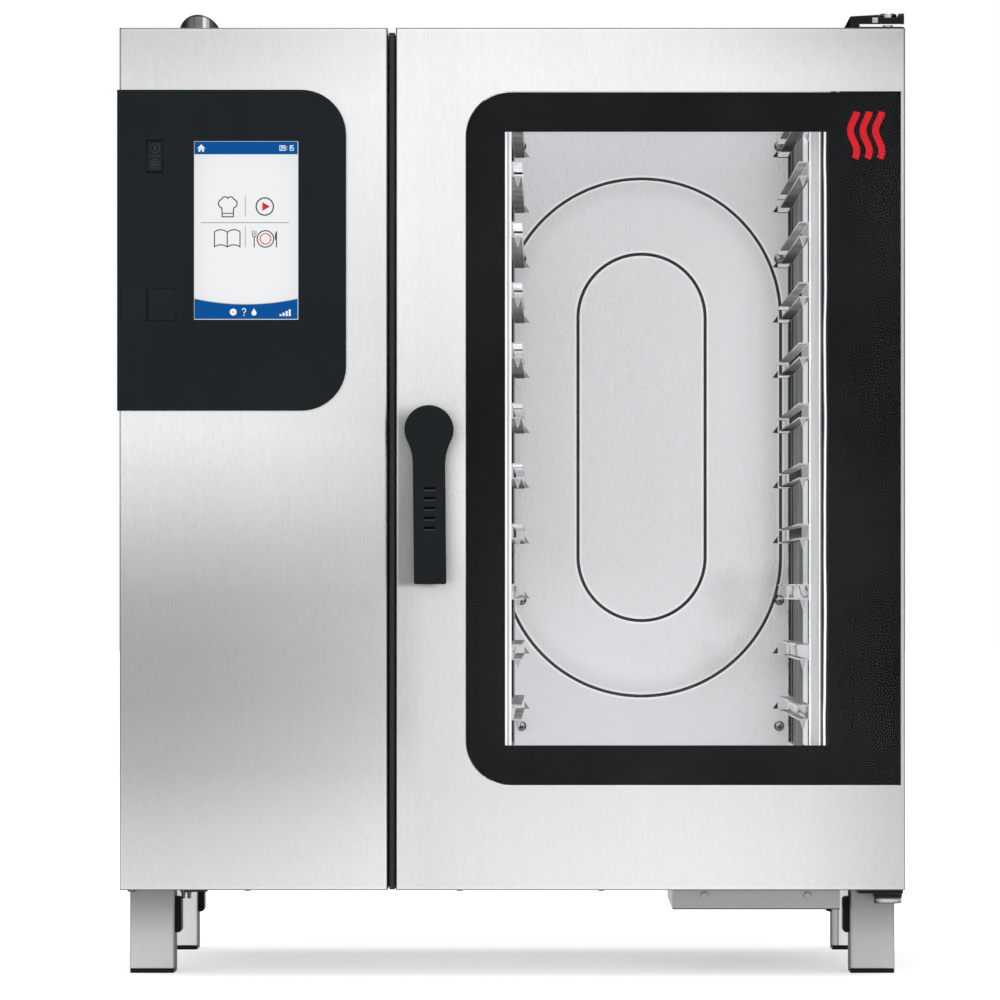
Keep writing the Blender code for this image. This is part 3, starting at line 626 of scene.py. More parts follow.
def pipe_tone(net):
    """Upright bands of studio light and dark round a polished pipe, with a dark rim."""
    normal_x = net.facing()[0]
    low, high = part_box("exhaust_pipe")
    x, y, z = net.axes()
    radius = (high.x - low.x) / 2
    # distance below the slanted cut, which falls towards the back
    fall = net.times(net.minus(y, (low.y + high.y) / 2), 0.94)
    lean = net.times(net.minus(x, (low.x + high.x) / 2), 0.08)
    under_cut = net.minus(high.z - 0.9434 * radius, z, fall, lean)
    rim = net.curve(
        under_cut, 0.0, 0.004, [(0.0, 0.16), (0.35, 0.16), (0.6, 1.0), (1.0, 1.0)]
    )
    bands = net.curve(
        normal_x, -1.0, 1.0,
        [
            (0.0, 0.03), (0.20, 0.05), (0.27, 0.30), (0.35, 0.34), (0.40, 0.08),
            (0.46, 0.20), (0.55, 0.26), (0.60, 1.0), (0.68, 0.85), (0.76, 0.24),
            (0.88, 0.10), (1.0, 0.02),
        ],
    )
    return net.times(bands, rim)


# ----------------------------------------------------------- single materials
def rack_material():
    """Polished bar and channel in a bright cavity, in painted light and shade by facing:
    bars that face the door read light with painted white highlights on the rolled edges,
    undersides painted grey and flanks nearly black; the rack glows with these levels."""
    right_bar_x = (0.3363, 0.3499)
    left_bar_x = (-0.0155, -0.0019)
    net = new_material("steel_rack")
    _, normal_y, normal_z = net.facing()
    x, y, z = net.axes()
    front = net.span(net.times(normal_y, -1.0), 0.5, 0.9)
    under = net.span(normal_z, -0.5, -0.9)
    over = net.span(normal_z, 0.5, 0.9)
    rear = net.span(y, -0.20, 0.20)
    left = net.below(x, 0.16)
    blotches = net.noise((30.0, 14.0, 30.0), detail=3.0, rough=0.6)
    streaks = net.noise((420.0, 3.0, 12.0), rough=0.6)
    upright = net.noise((700.0, 3.0, 14.0), rough=0.6)

    # front bars, with painted white highlights on their rims
    across_bar = net.span(x, *right_bar_x)
    right_bar = net.ramp(
        across_bar,
        [
            (0.0, 0.9), (0.09, 1.0), (0.13, 0.49), (0.40, 0.54), (0.80, 0.49),
            (0.84, 1.0), (0.92, 1.0), (0.93, 0.02), (1.0, 0.02),
        ],
    )
    left_bar = net.curve(
        x, *left_bar_x,
        [(0.0, 1.0), (0.62, 1.0), (0.66, 0.48), (0.80, 0.48), (0.85, 1.0), (1.0, 1.0)],
    )
    front_bar = net.mix(left, right_bar, left_bar)
    # the tabs that hang into the cavity from the rails' front ends, at a lower painted level
    between_bars = net.times(net.above(x, -0.0018), net.below(x, 0.3362))
    front_bar = net.mix(between_bars, front_bar, 0.36)
    # rear bars, in shade behind a dark flank
    right_rear = net.ramp(
        across_bar,
        [
            (0.0, 0.012), (0.22, 0.012), (0.26, 0.11), (0.31, 0.11), (0.34, 0.01),
            (0.41, 0.01), (0.46, 0.125), (1.0, 0.155),
        ],
    )
    right_rear = net.times(right_rear, net.vary(upright, 0.65, 1.35))
    left_rear = net.curve(
        x, *left_bar_x, [(0.0, 0.01), (0.86, 0.01), (0.92, 0.22), (1.0, 0.22)]
    )
    rear_bar = net.mix(left, right_rear, left_rear)
    facing_door = net.mix(net.above(y, 0.0), front_bar, rear_bar)

    # painted shade on the rails: the upper flange's underside, then the lower one's, by
    # height
    rails_down = net.math("DIVIDE", net.minus(0.9878, z), RAIL_PITCH * MILLI)
    lower = net.above(net.math("FRACT", rails_down), 0.12)
    mottle = net.vary(blotches, 0.55, 1.45)
    right_under = net.mix(
        lower, net.span(rear, 0.0, 1.0, 0.24, 0.07), net.span(rear, 0.0, 0.8, 0.17, 0.022)
    )
    notch = net.curve(
        y, -0.27, 0.03,
        [
            (0.0, 0.85), (0.43, 0.85), (0.46, 0.01), (0.545, 0.01), (0.57, 0.75),
            (0.80, 0.62), (1.0, 0.45),
        ],
    )
    left_under = net.mix(lower, notch, net.span(rear, 0.0, 1.0, 0.20, 0.06))
    under_level = net.times(net.mix(left, right_under, left_under), mottle)

    # painted light on the webs: pale just inside the front bar, and pale painted reflections
    # all along on the low rails
    level = net.vary(blotches, 0.008, 0.04)
    level = net.mix(net.span(y, -0.10, -0.125), level, 0.30)
    pale = net.curve(
        net.noise((40.0, 4.2, 46.0), detail=1.0, rough=0.4), 0.35, 0.65,
        [(0.0, 0.60), (0.38, 0.50), (0.47, 0.12), (0.53, 0.14), (0.62, 0.40), (1.0, 0.60)],
    )
    low_rail = net.span(z, 0.50, 0.46)
    level = net.mix(low_rail, level, pale)
    over_level = net.mix(low_rail, net.vary(blotches, 0.36, 0.60), net.vary(blotches, 0.05, 0.30))
    level = net.mix(over, level, over_level)
    level = net.mix(under, level, under_level)
    level = net.mix(front, level, facing_door)
    level = net.times(level, net.vary(streaks, 0.92, 1.08))
    # painted highlights along the rounded edges, dimmer towards the rear
    normal = net.rounded(0.0009, samples=6)
    edge_level = net.span(rear, 0.0, 1.0, 0.98, 0.22)
    level = net.mix(net.edge_mask(normal), level, edge_level)
    # painted light: the right rails' far ends melt into the bright wall
    far = net.times(
        net.span(y, 0.185, 0.20),
        net.span(y, 0.262, 0.258),
        net.below(x, 0.3362),
        net.minus(1.0, left),
    )
    level = net.mix(far, level, net.vary(blotches, 0.40, 0.62))
    oblique = net.oblique()
    # the rack's painted levels also glow, standing in for the cavity's light
    return net.principled(
        (0.66, 0.67, 0.68),
        Base_Color=net.tint((0.30, 0.305, 0.31), level),
        Metallic=net.span(oblique, 0.35, 0.75, 0.8, 0.0),
        Specular_IOR_Level=net.span(oblique, 0.35, 0.75, 0.3, 0.0),
        Roughness=net.vary(blotches, 0.16, 0.26),
        Normal=normal,
        Emission_Color=net.tint((0.97, 0.985, 1.0), level),
        Emission_Strength=0.92,
    )


def chrome_material():
    """Polished metal with a painted reflection: a pale sky, a dark horizon and a grey floor,
    painted by the mirror direction.
    """
    colour = (0.82, 0.82, 0.83)
    net = new_material("polished_chrome")
    haze = net.noise(60.0, detail=3.0, rough=0.6)
    scratch = net.noise((90.0, 1500.0, 1500.0))
    normal = net.rounded(0.0006)
    mirror = net.node("ShaderNodeTexCoord").outputs["Reflection"]
    mirror_x, _, mirror_z = net.axes(mirror)
    # painted reflection, by the mirror direction
    sky = net.curve(
        mirror_z, -1.0, 1.0,
        [
            (0.0, 0.16), (0.36, 0.34), (0.46, 0.10), (0.495, 0.30), (0.52, 0.78),
            (0.62, 0.95), (1.0, 0.55),
        ],
    )
    flags = net.curve(
        mirror_x, -1.0, 1.0,
        [
            (0.0, 0.15), (0.10, 0.35), (0.22, 1.0), (0.42, 0.75), (0.60, 1.0),
            (0.80, 0.9), (0.92, 0.25), (1.0, 0.1),
        ],
    )
    tone = net.times(sky, flags, net.vary(haze, 0.94, 1.04))
    return net.principled(
        colour,
        Base_Color=net.tint(colour, tone),
        Metallic=1.0,
        Roughness=net.vary(haze, 0.06, 0.15),
        Normal=net.bump(scratch, 0.03, distance=0.0001, normal=normal),
    )


def bracket_material():
    """Blackened hinge arm with painted highlights on its edges and upper bevel; a painted
    light strip glows in the slit under it.
    """
    net = new_material("blackened_arm")
    z = net.axes()[2]
    normal_z = net.facing()[2]
    smear = net.noise(60.0, detail=3.0, rough=0.6)
    normal = net.rounded(0.0010)
    # painted light: a strip in the slit's ceiling glows
    slit = net.times(
        net.below(normal_z, -0.6),
        net.above(z, (ARM_LOW.z + 3.0) * MILLI),
        net.below(z, (ARM_LOW.z + 8.0) * MILLI),
    )
    # painted highlight along the upper bevel, and on the edges
    bevel = net.span(z, (ARM_HIGH.z - 3.4) * MILLI, (ARM_HIGH.z - 2.2) * MILLI)
    body = net.tint((0.005, 0.0055, 0.006), net.vary(smear, 0.8, 1.6))
    colour = net.mix(net.edge_mask(normal), body, (0.10, 0.105, 0.11))
    colour = net.mix(net.times(bevel, 0.10), colour, (0.30, 0.31, 0.32))
    return net.principled(
        (0.02, 0.02, 0.02),
        Base_Color=colour,
        Roughness=net.vary(smear, 0.30, 0.42),
        Specular_IOR_Level=net.vary(net.oblique(), 0.12, 0.0),
        Normal=normal,
        Emission_Color=(0.96, 0.97, 0.98, 1.0),
        Emission_Strength=net.times(slit, 0.95),
    )


def wool_material():
    net = new_material("mineral_wool")
    fibre = net.noise((300.0, 300.0, 90.0), detail=5.0, rough=0.7)
    clump = net.noise(24.0, detail=3.0, rough=0.6)
    colour = net.mix(clump, (0.50, 0.42, 0.24), (0.66, 0.60, 0.42))
    return net.principled(
        (0.58, 0.52, 0.35),
        Base_Color=net.mix(fibre, net.tint(colour, 0.8), net.tint(colour, 1.15)),
        Roughness=0.95,
        Normal=net.bump(fibre, 0.8, distance=0.002),
    )


def board_material():
    net = new_material("circuit_board")
    tracks = net.node("ShaderNodeTexBrick", {"Vector": net.coord, "Scale": 90.0})
    return net.principled(
        (0.02, 0.13, 0.06),
        Base_Color=net.mix(0.25, (0.015, 0.12, 0.05), tracks.outputs[0], "MULTIPLY"),
        Roughness=net.vary(net.noise(90.0), 0.35, 0.55),
    )


def brass_material():
    net = new_material("brass")
    haze = net.noise(70.0, detail=3.0, rough=0.6)
    return net.principled(
        (0.70, 0.52, 0.24),
        Base_Color=net.mix(haze, (0.62, 0.44, 0.18), (0.78, 0.60, 0.30)),
        Metallic=1.0,
        Roughness=net.vary(haze, 0.22, 0.38),
        Normal=net.rounded(0.0006),
    )


def heater_material():
    net = new_material("heater_tube")
    haze = net.noise(40.0, detail=3.0, rough=0.6)
    return net.principled(
        (0.10, 0.095, 0.09),
        Base_Color=net.mix(haze, (0.07, 0.066, 0.062), (0.16, 0.13, 0.10)),
        Metallic=0.8,
        Roughness=net.vary(haze, 0.35, 0.6),
    )


# ------------------------------------------------------------- the finishes
# painted light: the front sheets take a brighter base than the same steel on the other
# sheets, and the top a darker one
FRONT_STEEL = (0.92, 0.92, 0.925)
PLAIN_STEEL = (0.62, 0.625, 0.63)

STEEL_DOOR = steel("steel_door", FRONT_STEEL, rough=0.30, tone=door_tone)
STEEL_COVER = steel("steel_cover", FRONT_STEEL, rough=0.30, tone=cover_tone)
STEEL_SIDE = steel("steel_side", PLAIN_STEEL, rough=0.34, tone=side_tone)
STEEL_TOP = steel("steel_top", (0.46, 0.465, 0.47), rough=0.34, grain="X")
STEEL_INNER = steel("steel_inner", PLAIN_STEEL, rough=0.30)
STEEL_ROUND = steel("steel_round", (0.62, 0.63, 0.64), rough=0.22, streak=0.06)
# painted light: the cavity's steel glows, standing in for the light inside the cavity
STEEL_CHAMBER = steel(
    "steel_chamber",
    (0.70, 0.705, 0.715),
    rough=0.30,
    streak=0.008,
    tone=chamber_tone,
    relief=0.015,
    edge=0.003,
    metallic=0.3,
    aniso=0.2,
    glow=0.44,
    matt_edge_on=True,
)
STEEL_PIPE = steel(
    "steel_pipe", (0.80, 0.81, 0.83), rough=0.20, streak=0.10, tone=pipe_tone
)
STEEL_RACK = rack_material()
STEEL_LEG = steel(
    "steel_leg", (0.66, 0.665, 0.675), rough=0.33, tone=leg_tone, matt_edge_on=True
)
# painted light: the polished pin glows with its painted reflection
STEEL_PIN = steel(
    "steel_pin",
    (0.86, 0.865, 0.87),
    rough=0.16,
    streak=0.04,
    grain="X",
    tone=pin_tone,
    glow=0.30,
)
GALVANISED = steel(
    "galvanised", (0.42, 0.435, 0.45), rough=0.42, streak=0.04, cloud=0.10, aniso=0.0
)
SHEET_BOX = steel("sheet_box", (0.345, 0.35, 0.355), rough=0.42, grain="X", tone=box_tone)
CHROME = chrome_material()
BLACKENED = plastic(
    "blackened_steel", (0.008, 0.009, 0.010),
    rough=0.36, grain=500.0, bump=0.08, gloss=0.12, edge=0.0010, edge_light=0.10,
)
BLACKENED_ARM = bracket_material()
PANEL_BLACK = plastic(
    "panel_black", (0.0108, 0.0138, 0.0163),
    rough=0.36, grain=1600.0, bump=0.05, gloss=0.035, edge=0.0009, edge_light=0.0,
)
PRINT_BLACK = plastic(
    "print_black", (0.0060, 0.0064, 0.0072),
    rough=0.30, grain=2000.0, bump=0.02, gloss=0.02, edge=0.0003, edge_light=0.0,
)
PLASTIC_BLACK = plastic(
    "plastic_black", (0.0085, 0.0115, 0.0125), rough=0.48, grain=1100.0, bump=0.15, gloss=0.06
)
# painted shade and highlight on the grip: near-black bars and paler rims
RIB_SHADE = plastic(
    "rib_shade", (0.0012, 0.0016, 0.0020), rough=0.60, grain=1100.0, bump=0.10, gloss=0.02
)
RIB_HIGHLIGHT = plastic(
    "rib_highlight", (0.055, 0.060, 0.063), rough=0.50, grain=1100.0, bump=0.10, gloss=0.06
)
PLASTIC_FLAP = plastic(
    "plastic_flap", (0.0105, 0.0135, 0.0165), rough=0.45, grain=1300.0, bump=0.12, gloss=0.05
)
TRIM_GREY = plastic(
    "trim_grey", (0.034, 0.040, 0.044), rough=0.45, grain=900.0, bump=0.08, gloss=0.2
)
SILICONE = plastic(
    "silicone", (0.018, 0.019, 0.020), rough=0.62, grain=700.0, bump=0.12, gloss=0.25
)
MOTOR_PAINT = plastic(
    "motor_paint", (0.10, 0.11, 0.12), rough=0.45, grain=400.0, bump=0.2, gloss=0.4
)
GLASS_CLEAR = glass("glass_clear", tint=(1.0, 1.0, 1.0), grazing=0.55)
GLASS_INNER = glass("glass_inner", tint=(0.985, 0.99, 0.99), grazing=0.5)
WOOL = wool_material()
BOARD = board_material()
BRASS = brass_material()
HEATER = heater_material()

LEGS = [name for name in NODES if name.startswith("leg_") and "clip" not in name]
FEET = [name for name in NODES if name.startswith(("foot_", "leg_clip_"))]
CHROMED = [
    "hinge_pin_top", "latch_keeper", "handle_spindle", "latch_cam", "motor_shaft",
    "usb_socket",
]
FINISH = {
    STEEL_DOOR: ["door_frame"],
    STEEL_COVER: ["front_cover"],
    STEEL_SIDE: ["side_panel_left", "side_panel_right"],
    STEEL_TOP: ["top_cover"],
    STEEL_INNER: ["chamber_front_frame", "door_inner_frame"],
    STEEL_PIPE: ["exhaust_pipe"],
    STEEL_ROUND: ["drain_pipe", "steam_generator", "steam_pipe"],
    STEEL_CHAMBER: ["chamber", "suction_panel"],
    STEEL_RACK: ["rack_left", "rack_right"],
    STEEL_PIN: ["hinge_pin_bottom"],
    STEEL_LEG: LEGS,
    GALVANISED: ["base_pan", "rear_panel", "power_module", "fan_wheel"],
    SHEET_BOX: ["drain_box"],
    CHROME: CHROMED,
    BLACKENED_ARM: ["hinge_bracket_top"],
    BLACKENED: ["hinge_bracket_bottom"],
    PANEL_BLACK: ["control_panel_bezel"],
    PRINT_BLACK: ["door_glass_print"],
    PLASTIC_BLACK: ["handle_lever", "handle_bush"] + FEET,
    PLASTIC_FLAP: ["usb_flap", "usb_side_cover", "power_rocker"],
    TRIM_GREY: ["gap_trim"],
    SILICONE: ["door_gasket"],
    MOTOR_PAINT: ["fan_motor"],
    GLASS_CLEAR: ["door_glass_outer"],
    GLASS_INNER: ["door_glass_inner"],
    WOOL: ["insulation"],
    BOARD: ["control_board"],
    BRASS: ["water_valve"],
    HEATER: ["heating_coil"],
}
for finish, names in FINISH.items():
    for name in names:
        materials = NODES[name].data.materials
        if not materials:
            materials.append(finish)
        for index in range(len(materials)):
            materials[index] = finish


# =============================================================== modelling kit
def piece(name, shape, material, body="cabinet", angle=35.0):
    """Makes an object of a millimetre mesh; faces stay flat if angle is None."""
    bmesh.ops.recalc_face_normals(shape, faces=shape.faces)
    shape.transform(Matrix.Scale(MILLI, 4))
    mesh = bpy.data.meshes.new(name)
    shape.to_mesh(mesh)
    shape.free()
    made = bpy.data.objects.new(name, mesh)
    bpy.context.scene.collection.objects.link(made)
    mesh.materials.append(material)
    if angle is not None:
        mesh.shade_smooth()
        mesh.set_sharp_from_angle(angle=math.radians(angle))
    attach(made, body)
    return made


def soften(made, width, segments=3, angle=35.0):
    """Rounds a piece's edges by a bevel in millimetres."""
    step = made.modifiers.new("edge", "BEVEL")
    step.width = width * MILLI
    step.segments = segments
    step.limit_method = "ANGLE"
    step.angle_limit = math.radians(angle)


def block(x_range, depths, z_range):
    shape = bmesh.new()
    ranges = (x_range, depths, z_range)
    x, depth, z = (sum(pair) / 2 for pair in ranges)
    sizes = [end - start for start, end in ranges]
    place = Matrix.Translation((x, y_of(depth), z)) @ Matrix.Diagonal((*sizes, 1.0))
    bmesh.ops.create_cube(shape, size=1.0, matrix=place)
    return shape


def prism(outline, depths, shape):
    """Adds a slab with an outline of x, z points, between two depths."""
    near, far = ([shape.verts.new((x, y_of(d), z)) for x, z in outline] for d in depths)
    shape.faces.new(near)
    shape.faces.new(list(reversed(far)))
    for i in range(len(outline)):
        j = (i + 1) % len(outline)
        shape.faces.new((near[j], near[i], far[i], far[j]))


def ribbon(points, width, depths, shape, closed=False):
    """Adds a flat stroke of even width along x, z points."""
    count = len(points)
    near, far = (y_of(depth) for depth in depths)
    rings = []
    for i in range(count):
        here = Vector(points[i])
        arriving = leaving = None
        if i > 0 or closed:
            arriving = (here - Vector(points[i - 1])).normalized()
        if i < count - 1 or closed:
            leaving = (Vector(points[(i + 1) % count]) - here).normalized()
        run = ((arriving or leaving) + (leaving or arriving)).normalized()
        side = Vector((-run.y, run.x))
        reach = width / 2
        if arriving is not None and leaving is not None:
            # mitre, so that the stroke keeps its width round the bend
            reach /= max(0.5, math.sqrt(max(0.0, (1 + arriving.dot(leaving)) / 2)))
        left = here + side * reach
        right = here - side * reach
        corners = ((left, near), (right, near), (right, far), (left, far))
        rings.append([shape.verts.new((spot.x, y, spot.y)) for spot, y in corners])
    for i in range(count if closed else count - 1):
        ring, following = rings[i], rings[(i + 1) % count]
        for k in range(4):
            m = (k + 1) % 4
            shape.faces.new((ring[k], ring[m], following[m], following[k]))
    if not closed:
        shape.faces.new(list(reversed(rings[0])))
        shape.faces.new(rings[-1])


def arc(x, z, radius, start, end, steps):
    """Points from one angle to another, in degrees."""
    angles = [math.radians(start + (end - start) * i / steps) for i in range(steps + 1)]
    return [(x + radius * math.cos(a), z + radius * math.sin(a)) for a in angles]


def circle(x, z, radius, steps):
    return arc(x, z, radius, 0, 360, steps)[:-1]


def curved_path(start, curves):
    """Bezier curves end to end; each is (control, control, end, steps)."""
    path = [start]
    for leave, arrive, end, steps in curves:
        origin = path[-1]
        for i in range(1, steps + 1):
            t = i / steps
            u = 1 - t
            path.append(
                tuple(
                    u**3 * a + 3 * u * u * t * b + 3 * u * t * t * c + t**3 * d
                    for a, b, c, d in zip(origin, leave, arrive, end)
                )
            )
    return path


AXIS_TURNS = {
    "Y": Matrix.Rotation(-math.pi / 2, 4, "X"),
    "-Y": Matrix.Rotation(math.pi / 2, 4, "X"),
    "Z": Matrix.Identity(4),
    "-Z": Matrix.Rotation(math.pi, 4, "X"),
}


def turned(profile, centre, axis, sides, shape=None, hexagons=()):
    """A solid of revolution at an x, y, z place. profile is (radius, travel) from
    start to end, both ends on the axis. hexagons lists the rings with six flats."""
    shape = shape or bmesh.new()
    place = Matrix.Translation(centre) @ AXIS_TURNS[axis]
    rings = []
    for index, (radius, travel) in enumerate(profile):
        if radius < 1e-6:
            rings.append([shape.verts.new(place @ Vector((0, 0, travel)))])
            continue
        ring = []
        for k in range(sides):
            angle = 2 * math.pi * k / sides
            reach = radius
            if index in hexagons:
                reach = radius / math.cos((angle % (math.pi / 3)) - math.pi / 6)
            spot = Vector((reach * math.cos(angle), reach * math.sin(angle), travel))
            ring.append(shape.verts.new(place @ spot))
        rings.append(ring)
    for ring, following in zip(rings, rings[1:]):
        for k in range(sides):
            m = (k + 1) % sides
            if len(ring) == 1:
                corners = (ring[0], following[m], following[k])
            elif len(following) == 1:
                corners = (ring[k], ring[m], following[0])
            else:
                corners = (ring[k], ring[m], following[m], following[k])
            shape.faces.new(corners)
    return shape


# ==================================================================== display
# Screen points are in millimetres, right and down from its upper left corner.
SCREEN_LOW, SCREEN_HIGH = box_mm("touch_display")
SCREEN_W = SCREEN_HIGH.x - SCREEN_LOW.x
SCREEN_H = SCREEN_HIGH.z - SCREEN_LOW.z
SCREEN_DEPTH = depth_of(SCREEN_LOW.y)
MARGIN = 0.3  # bare border round the blue bars
# the bars float just over the face, and the ink just over the bars
BAR_DEPTHS = (SCREEN_DEPTH - 0.10, SCREEN_DEPTH - 0.06)
INK_DEPTHS = (SCREEN_DEPTH - 0.15, SCREEN_DEPTH - 0.12)
EDGE_DEPTHS = (SCREEN_DEPTH - 0.15, SCREEN_DEPTH - 0.11)


def on_screen(points):
    """Screen points to x, z."""
    return [(SCREEN_LOW.x + right, SCREEN_HIGH.z - down) for right, down in points]


def rectangle(left, right, first, second):
    return [(left, first), (right, first), (right, second), (left, second)]


def stroke(shape, points, width, closed=False):
    ribbon(on_screen(points), width, INK_DEPTHS, shape, closed)


def patch(shape, points):
    prism(on_screen(points), INK_DEPTHS, shape)


def screen_piece(name, shape, material):
    piece(name, shape, material, angle=None)


def lit(name, colour, vignette=False):
    """A lit part of the display, behind a thin clear face."""
    net = new_material(name)
    dots = net.noise(2400.0, detail=1.0)
    glow = net.tint(colour, net.vary(dots, 0.985, 1.015))
    if vignette:
        # dims towards the border of the screen
        x, _, z = net.axes()
        centre_x = (SCREEN_LOW.x + SCREEN_W / 2) * MILLI
        centre_z = (SCREEN_HIGH.z - SCREEN_H / 2) * MILLI
        across = net.math("DIVIDE", net.minus(x, centre_x), SCREEN_W / 2 * MILLI)
        up = net.math("DIVIDE", net.minus(z, centre_z), SCREEN_H / 2 * MILLI)
        far = net.distance(across, up, 4.0)
        glow = net.tint(glow, net.span(far, 0.35, 1.4, 1.0, 0.90, smooth=True))
    return net.principled(
        colour,
        Base_Color=(0.0, 0.0, 0.0, 1.0),
        Roughness=0.25,
        Specular_IOR_Level=0.02,
        Emission_Color=glow,
        Emission_Strength=1.0,
    )


WHITE_LIT = lit("display_white", (0.86, 0.875, 0.885), vignette=True)
BLUE_LIT = lit("display_blue", (0.0035, 0.085, 0.315))
INK_DARK = lit("display_ink_dark", (0.070, 0.076, 0.082))
INK_GREY = lit("display_ink_grey", (0.33, 0.34, 0.35))
INK_RED = lit("display_ink_red", (0.66, 0.035, 0.025))
INK_WHITE = lit("display_ink_white", (0.90, 0.93, 0.96))
NODES["touch_display"].data.materials[0] = WHITE_LIT

# the footer's arched upper edge
FOOTER_TOP = [
    (MARGIN + (SCREEN_W - 2 * MARGIN) * i / 24, 181.4 - 6.3 * (2 * i / 24 - 1) ** 2)
    for i in range(25)
]
DISH_CENTRE = (79.3, 108.6)
HAT_OUTLINE = curved_path(
    (31.2, 84.0),
    [
        ((31.0, 79.0), (31.2, 77.0), (30.6, 74.2), 5),
        ((26.0, 72.6), (25.6, 66.2), (30.6, 64.6), 8),
        ((31.6, 61.2), (36.0, 60.8), (37.4, 63.6), 8),
        ((38.8, 60.8), (43.2, 61.2), (44.2, 64.6), 8),
        ((49.2, 66.2), (48.8, 72.6), (44.0, 74.2), 8),
        ((43.5, 77.0), (43.8, 79.0), (43.6, 84.0), 5),
    ],
)


def blue_bars():
    shape = bmesh.new()
    right = SCREEN_W - MARGIN
    bottom = SCREEN_H - MARGIN
    prism(on_screen(rectangle(MARGIN, right, 14.5, MARGIN)), BAR_DEPTHS, shape)
    footer = [(MARGIN, bottom), (right, bottom)] + FOOTER_TOP[::-1]
    prism(on_screen(footer), BAR_DEPTHS, shape)
    screen_piece("display_blue_bars", shape, BLUE_LIT)


def screen_lines():
    """The footer's edge and the cross between the four fields."""
    shape = bmesh.new()
    ribbon(on_screen(FOOTER_TOP), 0.7, EDGE_DEPTHS, shape)
    stroke(shape, [(7.6, 90.5), (105.4, 90.5)], 0.95)
    stroke(shape, [(56.9, 60.4), (56.9, 84.2)], 0.75)
    stroke(shape, [(56.9, 94.6), (56.9, 118.4)], 0.75)
    screen_piece("display_lines", shape, INK_GREY)


def draw_book(shape):
    spine, top, bottom = 36.8, 101.2, 117.6
    for side in (-1, 1):
        near, mid, edge = (spine + side * reach for reach in (4, 10, 14.2))
        page = curved_path((spine, top), [((near, 97.6), (mid, 97.6), (edge, 100.6), 8)])
        page += curved_path(
            (edge, 117.4), [((mid, 114.4), (near, 114.4), (spine, bottom), 8)]
        )
        stroke(shape, page, 1.2)
    stroke(shape, [(spine, top), (spine, bottom)], 1.2)


def draw_fork(shape):
    middle = 66.8
    for tine in (-2.0, 0.0, 2.0):
        stroke(shape, [(middle + tine, 99.4), (middle + tine, 104.6)], 0.8)
    stroke(shape, [(64.8, 104.4), (65.6, 106.4), (68.0, 106.4), (68.8, 104.4)], 0.9)
    stroke(shape, [(middle, 106.4), (middle, 118.0)], 1.2)


def draw_knife(shape):
    blade = curved_path((92.2, 99.4), [((89.6, 101.0), (89.4, 106.0), (90.0, 109.6), 6)])
    patch(shape, [(92.2, 118.0)] + blade + [(91.0, 109.6), (91.0, 118.0)])


def dark_icons():
    """Chef's hat, open book, plate between fork and knife, start ring."""
    shape = bmesh.new()
    stroke(shape, HAT_OUTLINE, 1.3, closed=True)
    stroke(shape, [(31.8, 80.2), (43.0, 80.2)], 1.1)
    draw_book(shape)
    stroke(shape, circle(*DISH_CENTRE, 9.2, 36), 1.3, closed=True)
    draw_fork(shape)
    draw_knife(shape)
    stroke(shape, circle(78.6, 72.6, 9.6, 36), 1.5, closed=True)
    screen_piece("display_icons_dark", shape, INK_DARK)


def red_icons():
    """The plate's inner ring and the start arrow."""
    shape = bmesh.new()
    stroke(shape, circle(*DISH_CENTRE, 5.9, 30), 1.1, closed=True)
    patch(shape, [(75.8, 77.6), (84.4, 72.6), (75.8, 67.6)])
    screen_piece("display_icons_red", shape, INK_RED)


# strokes of a digit, as (column, row) of their two ends
SEGMENTS = {
    "a": ((0, 0), (1, 0)),
    "b": ((1, 0), (1, 1)),
    "c": ((1, 1), (1, 2)),
    "d": ((0, 2), (1, 2)),
    "e": ((0, 1), (0, 2)),
    "f": ((0, 0), (0, 1)),
    "g": ((0, 1), (1, 1)),
}
DIGITS = {"0": "abcdef", "9": "abcdfg", "1": "bc", "5": "acdfg"}


def draw_clock(shape):
    column, row, top = 2.2, 2.6, 4.9
    overrun = 0.4  # strokes reach past their ends, to fill the corners
    cursor = 95.4
    for mark in "09:15":
        if mark == ":":
            for down in (6.4, 9.0):
                patch(shape, rectangle(cursor, cursor + 1.0, down + 0.5, down - 0.5))
            cursor += 2.2
            continue
        for key in DIGITS[mark]:
            start, end = (
                Vector((cursor + column * across, top + row * down))
                for across, down in SEGMENTS[key]
            )
            extra = overrun * (end - start).normalized()
            stroke(shape, [start - extra, end + extra], 0.85)
        cursor += 3.5


def draw_cog(shape):
    ring = []
    for i in range(32):
        angle = 2 * math.pi * i / 32
        radius = 2.574 if i % 4 < 2 else 2.178
        ring.append((43.4 + radius * math.cos(angle), 190.0 + radius * math.sin(angle)))
    stroke(shape, ring, 2.6, closed=True)


def draw_question_mark(shape):
    tail = curved_path((57.3, 187.9), [((57.3, 190.0), (55.4, 189.6), (55.4, 191.6), 6)])
    stroke(shape, arc(55.4, 187.9, 1.9, 180, 360, 10) + tail[1:], 1.0)
    patch(shape, circle(55.4, 193.6, 0.75, 12))


def draw_drop(shape):
    drop = curved_path(
        (66.6, 185.6),
        [
            ((67.4, 188.0), (69.6, 189.4), (69.4, 191.6), 8),
            ((69.2, 194.6), (64.0, 194.6), (63.8, 191.6), 8),
            ((63.6, 189.4), (65.8, 188.0), (66.6, 185.6), 8),
        ],
    )
    patch(shape, drop[:-1])


def draw_signal(shape):
    base = 194.4
    for k in range(4):
        left = 95.0 + 3.4 * k
        patch(shape, rectangle(left, left + 2.2, base, base - (2.0 + 1.8 * k)))


